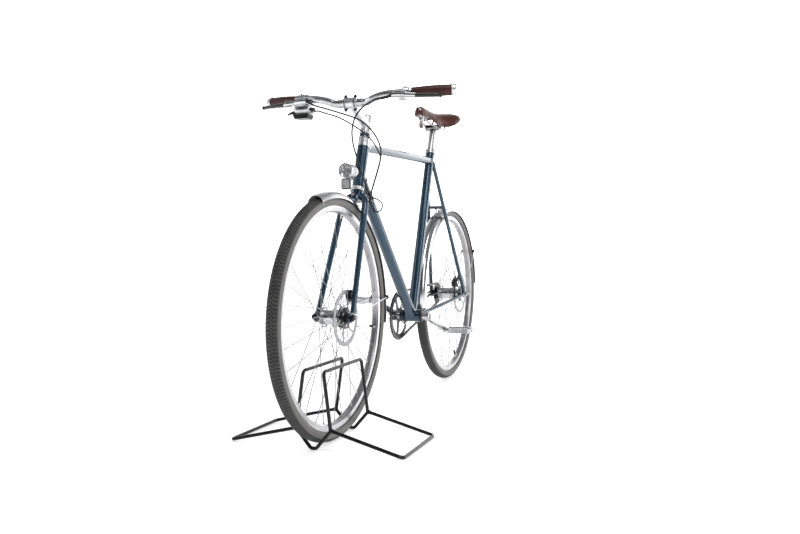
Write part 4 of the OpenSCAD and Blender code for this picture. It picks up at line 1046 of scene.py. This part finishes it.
def guard_edge(side, centre, angles, body):
    """Rolled ends and rolled lips of one mudguard."""
    def point(angle, turn, ring_r):
        a = math.radians(turn)
        return around(centre, angle, ring_r + GUARD_R * math.cos(a), GUARD_R * math.sin(a))

    b = Batch()
    for angle in angles:
        b.tube([point(angle, turn, GUARD_C - 0.0005) for turn in range(-100, 101, 8)], 1.1, 8)
    for lip in (-78, 78):
        b.tube([point(a, lip, GUARD_C) for a in range(angles[0], angles[1] + 1, 2)], 0.9, 6)
    b.done(side + "_guard_edges", CHROME, body)


guard_parts("front", FRONT, 174, (-12, 58.3, 4), "steering")
guard_parts("rear", REAR, 150, (-13, 75.8, 5), "frame")
guard_edge("front", FRONT, (72, 188), "steering")
guard_edge("rear", REAR, (-6, 176), "frame")


# Axle nuts, hubs and brakes
def axle_nuts(side, centre, out, body, look):
    b = Batch()
    washer = [(5.2, 0), (11.2, 0), (11.2, 1.4), (9.8, 1.8), (5.2, 1.8)]
    nut = [(5.2, 0), (8.8, 0), (9.2, 0.8), (9.2, 6.2), (8.2, 7.2), (5.2, 7.2)]
    dome = [(6.4, 0), (6.2, 1.2), (4.5, 2.6), (0, 3.4)]
    for way in (-1, 1):
        for rise, profile, sides in ((0, washer, 32), (0.0018, nut, 6), (0.0086, dome, 24)):
            b.lathe(centre + way * (out + rise) * Y, way * Y, profile, sides)
    b.done(side + "_axle_nuts", look, body)


def hub_parts(side, centre, rotor_y):
    b = Batch()
    face = rotor_y + 0.0009
    for k in range(6):
        b.bolt(around(centre, 60 * k + 30, 0.022, face), Y, 3.4, 1.6)
    b.done(side + "_rotor_bolts", CHROME, side + "_wheel")
    ring = [(17.2, 0), (19.5, 0), (19.5, 1.4), (18.2, 2), (17.2, 2)]
    turned(side + "_rotor_ring", BLACK, side + "_wheel", centre + face * Y, Y, ring, 40)


def drum():
    """Ribbed carrier between the rear hub and its sprocket, and the sprocket's lock ring."""
    rows = [(17.2, -35.2), (23.6, -35.2), (24.6, -36.4)]
    for i in range(4):
        y = -36.4 - 2.2 * i
        rows += [(24.6, y), (23.6, y - 0.6), (23.6, y - 1.4), (24.6, y - 2)]
    rows += [(22.2, -46.2), (17.2, -46.5)]
    turned("sprocket_drum", BLACK, "rear_wheel", REAR, Y, rows, 48)
    lock = Batch()
    ring = [(17.2, -49.1), (23.5, -49.1), (23.5, -50.6), (22, -51.5), (17.2, -51.5)]
    lock.lathe(REAR, Y, ring, 40)
    lock.notches(REAR - 0.0503 * Y, 12, 0.0238, (2.2, 2, 3))
    lock.done("sprocket_lock_ring", STEEL, "rear_wheel")


def caliper_parts(side, centre, at, plane, out, body):
    """Bolts, piston cap, pads and hose fitting of a caliper that faces out by a signed distance."""
    metal, dark = Batch(), Batch()
    way = math.copysign(1, out)
    for turn in (-7.5, 7.5):
        metal.bolt(around(centre, at + turn, 0.0765, plane + out), way * Y, 4.2, 3.4)
    face = around(centre, at, 0.071, plane + out + way * 0.0002)
    cap = [(0, 0), (10.5, 0), (10.5, 0.8), (8.5, 1.6), (7.2, 1), (0, 1)]
    metal.lathe(face, way * Y, cap, 32)
    dark.lathe(face + way * 0.001 * Y, way * Y, [(6.2, 0), (6.2, 1.2), (0, 1.4)], 24)
    for turn in (-4.5, 4.5):
        metal.box(around(centre, at + turn, 0.0845, plane), (3.5, 1.4, 6), radial(at), Y, 0.3)
    fitting = [(0, 0), (4.6, 0), (4.6, 2.2), (3.6, 3), (3.6, 5.5), (0, 6)]
    metal.lathe(around(centre, at + 4, 0.0855, plane - 0.002), radial(at + 4), fitting, 16)
    metal.done(side + "_caliper_bolts", CHROME, body)
    dark.done(side + "_caliper_piston_cap", PLASTIC, body)


def rear_brake_loop():
    top = around(REAR, 46, 0.092, 0.0505)
    route = [(12, 6, 8), (30, 12, 0), (38, 12, -26), (37, 11, -56), (34, 9, -76)]
    path = spline([top] + shifted(top, route), 7)
    hose, ends = Batch(), Batch()
    hose.tube(path, 2.4, 12)
    hose.done("rear_caliper_hose", CABLE, "frame")
    boot(ends, path, 0, 3, 14)
    boot(ends, path, -1, -3, 10)
    ends.done("rear_hose_boots", PLASTIC, "frame")


axle_nuts("front", FRONT, 0.0561, "steering", BLACK)
axle_nuts("rear", REAR, 0.0736, "frame", POLISHED)
hub_parts("front", FRONT, 0.039)
hub_parts("rear", REAR, 0.0525)
drum()
caliper_parts("front", FRONT, 122, 0.039, -0.011, "steering")
caliper_parts("rear", REAR, 42, 0.0525, 0.007, "frame")
rear_brake_loop()

# Cranks, pedals and chain
PITCH = 0.0127
RING_R = PITCH / 2 / math.sin(math.pi / 42)
COG_R = PITCH / 2 / math.sin(math.pi / 20)
CHAIN_Y = -0.048
TO_REAR = REAR - BB
RUN_TILT = math.atan2(TO_REAR.z, TO_REAR.x)


def crank_parts():
    """The rings and bolts at both ends of the cranks, and the chainring's bolts."""
    black, metal = Batch(), Batch()
    collar_rows = [(10.5, -0.8), (15.2, -0.8), (15.2, 0.6), (13.8, 1.4), (10.5, 1.4)]
    cap = [(0, -0.4), (10.4, -0.4), (10.4, 1.2), (8.8, 2), (4.6, 2), (4.2, 0.6), (0, 0.6)]
    eye = [(0, 0), (6.8, 0), (6.8, 0.6), (3.6, 0.6), (3.2, -1.6), (0, -1.6)]
    for way in (-1, 1):
        hub = BB + way * 0.068 * Y
        metal.lathe(hub, way * Y, collar_rows, 40)
        black.lathe(hub, way * Y, cap, 32)
        for k in range(6):
            dot = [(0, 1.2), (0.9, 1.2), (0.8, 1.9), (0, 2)]
            black.lathe(hub + 0.0126 * radial(60 * k + 20), way * Y, dot, 8)
        tip = BB + way * CRANK_L * CRANK_DIR
        black.bolt(tip + way * 0.0822 * Y, way * Y, 5.2, 1.2)
        metal.lathe(tip + way * 0.0704 * Y, -way * Y, eye, 24)
    for k in range(5):
        p = BB + (RING_R - 0.0125) * radial(math.degrees(RUN_TILT) + 72 * k + 36)
        metal.bolt(p + (CHAIN_Y - 0.0042) * Y, -Y, 4.8, 1.4)
        nut = [(0, 0), (5.6, 0), (5.6, 1), (5, 1.6), (0, 1.6)]
        metal.lathe(p + (CHAIN_Y + 0.001) * Y, Y, nut, 20)
    black.done("crank_bolts", BLACK, "crankset")
    metal.done("crank_rings", CHROME, "crankset")


def crank_grooves():
    b = Batch()
    start, end, spread = 0.026, 0.148, 0.0143 / CRANK_L
    for way in (-1, 1):
        first = start * CRANK_DIR + (0.0682 + start * spread) * Y
        last = end * CRANK_DIR + (0.0672 + end * spread) * Y
        b.tube([BB + way * first, BB + way * last], 1.4, 8, 0.5)
    b.done("crank_grooves", STEEL, "crankset")


def bearing_cups():
    b = Batch()
    rows = [(12.5, 34.1), (20.8, 34.1), (21.2, 34.8), (21.2, 39.8), (20.5, 40.4), (17.6, 41.2), (12.5, 41.2)]
    for way in (-1, 1):
        b.lathe(BB, way * Y, rows, 40)
        b.notches(BB + way * 0.0373 * Y, 16, 0.0213, (1.6, 4.4, 3.4))
    b.done("bearing_cups", BLACK, "frame")


def pedal_parts(side, way):
    tip = BB + way * CRANK_L * CRANK_DIR
    teeth, caps = Batch(), Batch()
    tooth = [(0, 0), (1.9, 0), (0.8, 2.1), (0, 2.3)]
    for fore in (-1, 1):
        for k in range(9):
            for up in (-1, 1):
                base = tip + mm(30 * fore, way * (104 + 8 * k), 8.5 * up)
                teeth.lathe(base, up * Z, tooth, 8)
        for up in (-1, 1):
            a, b = (tip + mm(31.8 * fore, way * y, 7.9 * up) for y in (100, 172))
            teeth.tube([a, (a + b) / 2, b], 0.9, 8)
    cap = [(0, 0), (8.6, 0), (8.8, 0.8), (7.4, 2), (3.4, 2.4), (0, 2.4)]
    caps.lathe(tip + way * 0.182 * Y, way * Y, cap, 32)
    for h in (0.0935, 0.1355, 0.1745):
        caps.lathe(tip + way * h * Y, way * Y, band(8.2, 10.9, 1.8, 0.3), 32)
    teeth.done("pedal_teeth_" + side, POLISHED, "pedal_" + side)
    caps.done("pedal_caps_" + side, STEEL, "pedal_" + side)


def chain_loop():
    """The chain's pitch points in its plane, as in the part's source."""
    centres = TO_REAR.length
    lean = math.asin((RING_R - COG_R) / centres)
    straight = centres * math.cos(lean)
    cog_arc = COG_R * (math.pi - 2 * lean)
    ring_arc = RING_R * (math.pi + 2 * lean)
    total = 2 * straight + cog_arc + ring_arc
    count = 2 * round(total / PITCH / 2)
    quarter = math.pi / 2 - lean

    def turn(a):
        return Vector((math.cos(a), math.sin(a)))

    def at(s):
        if s < straight:
            return RING_R * turn(quarter) + s * turn(-lean)
        s -= straight
        if s < cog_arc:
            return Vector((centres, 0)) + COG_R * turn(quarter - s / COG_R)
        s -= cog_arc
        if s < straight:
            return Vector((centres, 0)) + COG_R * turn(-quarter) - s * turn(lean)
        return RING_R * turn(-quarter - (s - straight) / RING_R)

    c, s = math.cos(RUN_TILT), math.sin(RUN_TILT)
    flat = [at(i * total / count) for i in range(count)]
    return [BB + Vector((p.x * c - p.y * s, CHAIN_Y, p.x * s + p.y * c)) for p in flat]


def outer_plate(b, p, q):
    """A pair of waisted plates over two pins."""
    d = (q - p).normalized()
    v = Vector((-d.z, 0, d.x))
    shape = []
    for end, way in ((q, 1), (p, -1)):
        for a in (-80, -45, -15, 15, 45, 80):
            r = math.radians(a)
            shape.append(end + way * 0.0042 * (math.cos(r) * d + math.sin(r) * v))
        shape.append((p + q) / 2 + way * 0.0032 * v)
    m = len(shape)
    faces = [tuple(reversed(range(m))), tuple(range(m, 2 * m))]
    faces += [(k, (k + 1) % m, m + (k + 1) % m, m + k) for k in range(m)]
    for low in (0.00285, -0.0037):
        b.add([s + y * Y for y in (low, low + 0.00085) for s in shape], faces)


def chain_parts():
    points = chain_loop()
    pins, plates = Batch(), Batch()
    pin = [(0, 0), (1.6, 0), (1.8, 0.4), (1.8, 8.4), (1.6, 8.8), (0, 8.8)]
    for p in points:
        pins.lathe(p - 0.0044 * Y, Y, pin, 8)
    for p, q in zip(points[::2], points[1::2]):
        outer_plate(plates, p, q)
    pins.done("chain_pins", STEEL, "frame")
    plates.done("chain_outer_plates", CHAIN, "frame")


crank_parts()
crank_grooves()
bearing_cups()
pedal_parts("left", 1)
pedal_parts("right", -1)
chain_parts()

# Saddle: rivets, edge roll, nose wire and clamp nuts
SADDLE_L, SADDLE_HALF = 0.302, 0.084
SADDLE_REAR = SADDLE_AT.x - 0.127
SADDLE_BASE = SADDLE_AT.z + 0.038
# Each station: share of the length from the rear, share of the half width, crown and side drop in mm
STATIONS = [
    (0.000, 0.52, 27, 13), (0.035, 0.78, 31, 20), (0.100, 0.96, 31, 28), (0.170, 1.00, 28, 36),
    (0.260, 0.90, 23, 47), (0.360, 0.68, 19, 55), (0.460, 0.50, 17, 55), (0.560, 0.38, 16, 46),
    (0.680, 0.30, 17, 36), (0.800, 0.26, 20, 34), (0.900, 0.235, 21, 36), (0.965, 0.19, 18, 34),
    (1.000, 0.10, 11, 24)
]


def on_saddle(share, a):
    """A place on the leather: a share of the length from the rear and an angle across, in degrees."""
    i = max(k for k in range(len(STATIONS) - 1) if STATIONS[k][0] <= share)
    low, high = STATIONS[i], STATIONS[i + 1]
    u = (share - low[0]) / (high[0] - low[0])
    width, crown, side = (p + (q - p) * u for p, q in zip(low[1:], high[1:]))
    r = math.radians(a)
    z = crown - side * (1 - math.cos(r) ** 0.7)
    y = width * SADDLE_HALF * math.sin(r)
    return Vector((SADDLE_REAR + share * SADDLE_L, y, SADDLE_BASE + z / 1000))


def saddle_normal(share, a):
    u = on_saddle(min(1, share + 0.01), a) - on_saddle(max(0, share - 0.01), a)
    v = on_saddle(share, a + 2) - on_saddle(share, a - 2)
    return u.cross(v).normalized()


def saddle_trim():
    rivets, rolls = Batch(), Batch()
    head = [(0, -0.6), (4.7, -0.6), (4.6, 0.6), (3.6, 1.6), (1.8, 2.2), (0, 2.3)]
    for share, angles in ((0.016, (-62, -33, 0, 33, 62)), (0.986, (-48, 0, 48))):
        for a in angles:
            out = saddle_normal(share, a)
            rivets.lathe(on_saddle(share, a) - out * 0.0008, out, head, 24)
    rivets.done("saddle_rivets", RIVET, "frame")
    for a in (-86, 86):
        shares = [s / 100 for s in range(3, 99, 2)]
        rolls.tube([on_saddle(s, a) + saddle_normal(s, a) * 0.0002 for s in shares], 1.1, 8)
    rolls.done("saddle_edge_roll", GRIP_LEATHER, "frame")


def saddle_nose():
    b = Batch()
    nose = SADDLE_AT + mm(140, 0, 33)
    loop = [(4, -9, 6), (0, -10, -12), (-9, -6, -34), (-10, 0, -38), (-9, 6, -34), (0, 10, -12), (4, 9, 6)]
    b.tube(spline(shifted(nose, loop), 5), 1.7)
    b.tube(shifted(SADDLE_AT, [(112, 0, 19), (134, 0, 24), (158, 0, 29)]), 3.2, 12)
    nut = [(3, -3), (6.2, -3), (6.2, 3), (3, 3)]
    b.lathe(SADDLE_AT + mm(124, 0, 21.5), (0.95, 0, 0.2), nut, 6)
    b.done("saddle_nose_wire", CHROME, "frame")


def saddle_clamp():
    b = Batch()
    disc = [(3, 0), (13.5, 0), (13.8, 0.8), (13.2, 2.4), (8, 3), (3, 3)]
    nut = [(0, 0), (6.2, 0), (6.4, 0.6), (6.4, 4), (5.6, 5), (0, 5)]
    for way in (-1, 1):
        side = SADDLE_AT + way * 0.0257 * Y
        b.lathe(side, way * Y, disc, 36)
        b.lathe(side + way * 0.003 * Y, way * Y, nut, 6)
        b.notches(side + way * 0.0012 * Y, 24, 0.0137, (1, 2.2, 1.4), 0)
    b.done("saddle_clamp_nuts", STEEL, "frame")


saddle_trim()
saddle_nose()
saddle_clamp()


# Frame: fillets at the joints, crown collar, seat clamp and mudguard bolts
def fillet(b, start, along, r, far, rise=2.2):
    """A smooth fillet that spreads from a tube towards its joint."""
    rows = []
    for i in range(9):
        u = i / 8
        rows.append((r + 0.05 + rise * (1 - u) ** 2.2, far * (0.35 + 0.65 * u)))
    b.lathe(start, along, rows, 40)


def joints():
    b = Batch()
    top_rear, top_front = seat(0.608), steer(0.545)
    stay_high = seat(0.602) + mm(-6, 12, 0)
    stay_low = REAR + mm(6, 70.5, 10)
    fillet(b, top_front, top_rear - top_front, 14.3, 32)
    fillet(b, top_rear, top_front - top_rear, 14.3, 28)
    fillet(b, DOWN_TOP, DOWN_DIR, 19, 40)
    fillet(b, BB, -DOWN_DIR, 19, 40, 3)
    fillet(b, BB, SEAT, 16.5, 36, 3)
    for way in (-1, 1):
        high, low = on_side(way, stay_high), on_side(way, stay_low)
        fillet(b, high, low - high, 7.5, 26, 1.8)
    b.done("brazed_joints", PAINT, "frame")


def crown_collar():
    rows = [
        (18.8, -0.8), (19.8, 0), (19.8, 3), (19.1, 5), (19.1, 24), (20.4, 27), (20.4, 29.5), (18.8, 29.8)
    ]
    turned("crown_collar", PAINT, "steering", steer(0.3702), HEAD, rows, 44)


def seat_clamp():
    b = Batch()
    ear = seat(0.6425) + 0.0215 * Vector((-SEAT.z, 0, SEAT.x))
    bolt_end = [(0, 0), (4.8, 0), (4.8, 2.8), (4, 3.8), (0, 4)]
    for way in (-1, 1):
        b.lathe(ear + way * 0.0062 * Y, way * Y, bolt_end, 20)
    for s in (0.6362, 0.649):
        b.lathe(seat(s), SEAT, bead(19.6, 20.6), 44)
    b.lathe(seat(0.6505), SEAT, [(13.8, 0), (18.8, 0), (18.4, 1.4), (14.2, 2.6)], 44)
    b.done("seat_clamp_bolt", CHROME, "frame")


def guard_bolts(centre, angle, body):
    """Two rivets and a washer where a mudguard is held to its bridge or crown."""
    b = Batch()
    rivet = [(0, 0), (3.4, 0), (3.4, 2), (0, 2.6)]
    washer = [(5, -0.4), (9.8, -0.4), (9.8, 1), (6.2, 2.4), (5, 2.4)]
    for y in (-0.009, 0.009):
        b.lathe(around(centre, angle, GUARD_C + 0.0226, y), radial(angle), rivet, 12)
    b.lathe(around(centre, angle, GUARD_C + 0.0244), radial(angle), washer, 28)
    b.done(body + "_guard_bolts", CHROME, body)


joints()
crown_collar()
seat_clamp()
guard_bolts(REAR, 69, "frame")
guard_bolts(FRONT, 114.7, "steering")


# Display stand: weld beads
def stand_parts():
    b = Batch()
    bead_rows = [(4.8, -3), (6.6, -1), (6.8, 1), (5.2, 4.2)]
    for way in (-1, 1):
        for along in (-1, 1):
            at = Vector((FRONT.x + along * 0.123, way * 0.0563, 0.056))
            b.lathe(at, (0, way * 0.2, -0.042), bead_rows, 20)
    b.done("stand_welds", STAND, "steering")


stand_parts()


# Floor, backdrop and light
def floor_stage():
    mesh = bpy.data.meshes.new("floor")
    bm = bmesh.new()
    bmesh.ops.create_grid(bm, x_segments=1, y_segments=1, size=30)
    bm.to_mesh(mesh)
    bm.free()
    floor = bpy.data.objects.new("floor", mesh)
    scene.collection.objects.link(floor)
    floor.location.z = -0.0002
    m, t = new_material("floor_look")
    x, y, z = offset_coords(t)
    fill(t, {
        "Base Color": mix(t, noise(t, 1.5), (0.86, 0.86, 0.87), (0.9, 0.9, 0.905)),
        "Roughness": remap(t, noise(t, 9), 0.38, 0.5),
        "Emission Color": (1, 1, 1),
        "Emission Strength": remap(t, length(t, x, y), 0.52, 1.0, 0.9, 3.0),
    })
    mesh.materials.append(m)


def studio_world():
    """A bright wall behind the object, grey sides, a dark camera side and a dark ceiling."""
    world = bpy.data.worlds.new("studio")
    scene.world = world
    world.use_nodes = True
    t = world.node_tree
    around_us = node(t, "TexCoord", "Generated", {})

    def towards(direction, low, high, a, b):
        facing = node(t, "VectorMath", "Value", {0: around_us, 1: direction}, operation="DOT_PRODUCT")
        return remap(t, facing, low, high, a, b)

    sides = towards(LOOK, 0.04, 0.66, -0.5, 0.4)
    backdrop = towards(LOOK, 0.0, 0.45, 0.7, 0.84)
    wall = towards(-X, 0.0, 1.7, 0.82, 0.93)
    total = plus(t, sides, plus(t, backdrop, wall))
    over = towards(Z, 0, 1, 0.42, 0.85)
    background = t.nodes["Background"].inputs
    put(t, background["Strength"], mix(t, over, total, 0.24, "FLOAT"))
    put(t, background["Color"], (1, 1, 1))


def area(name, place, target, size, power, long):
    light = bpy.data.lights.new(name, "AREA")
    light.shape = "RECTANGLE"
    light.size = size
    light.size_y = long
    light.energy = power
    o = bpy.data.objects.new(name, light)
    scene.collection.objects.link(o)
    o.location = place
    o.rotation_euler = (Vector(target) - Vector(place)).to_track_quat("-Z", "Y").to_euler()


floor_stage()
studio_world()
scene.view_settings.view_transform = "Standard"
area("top_box", (1.4, 0.9, 3.4), (0.1, 0, 0.5), 1.1, 40, 2.6)
area("left_box", (1.6, 3.4, 1.9), (0.1, 0, 0.6), 1.2, 26, 2.2)
area("right_box", (2.2, -2.8, 1.6), (0.1, 0, 0.6), 1.0, 18, 2.2)
area("back_box", (-2.2, 2.8, 1.2), (0.1, 0, 0.6), 0.6, 40, 2.4)
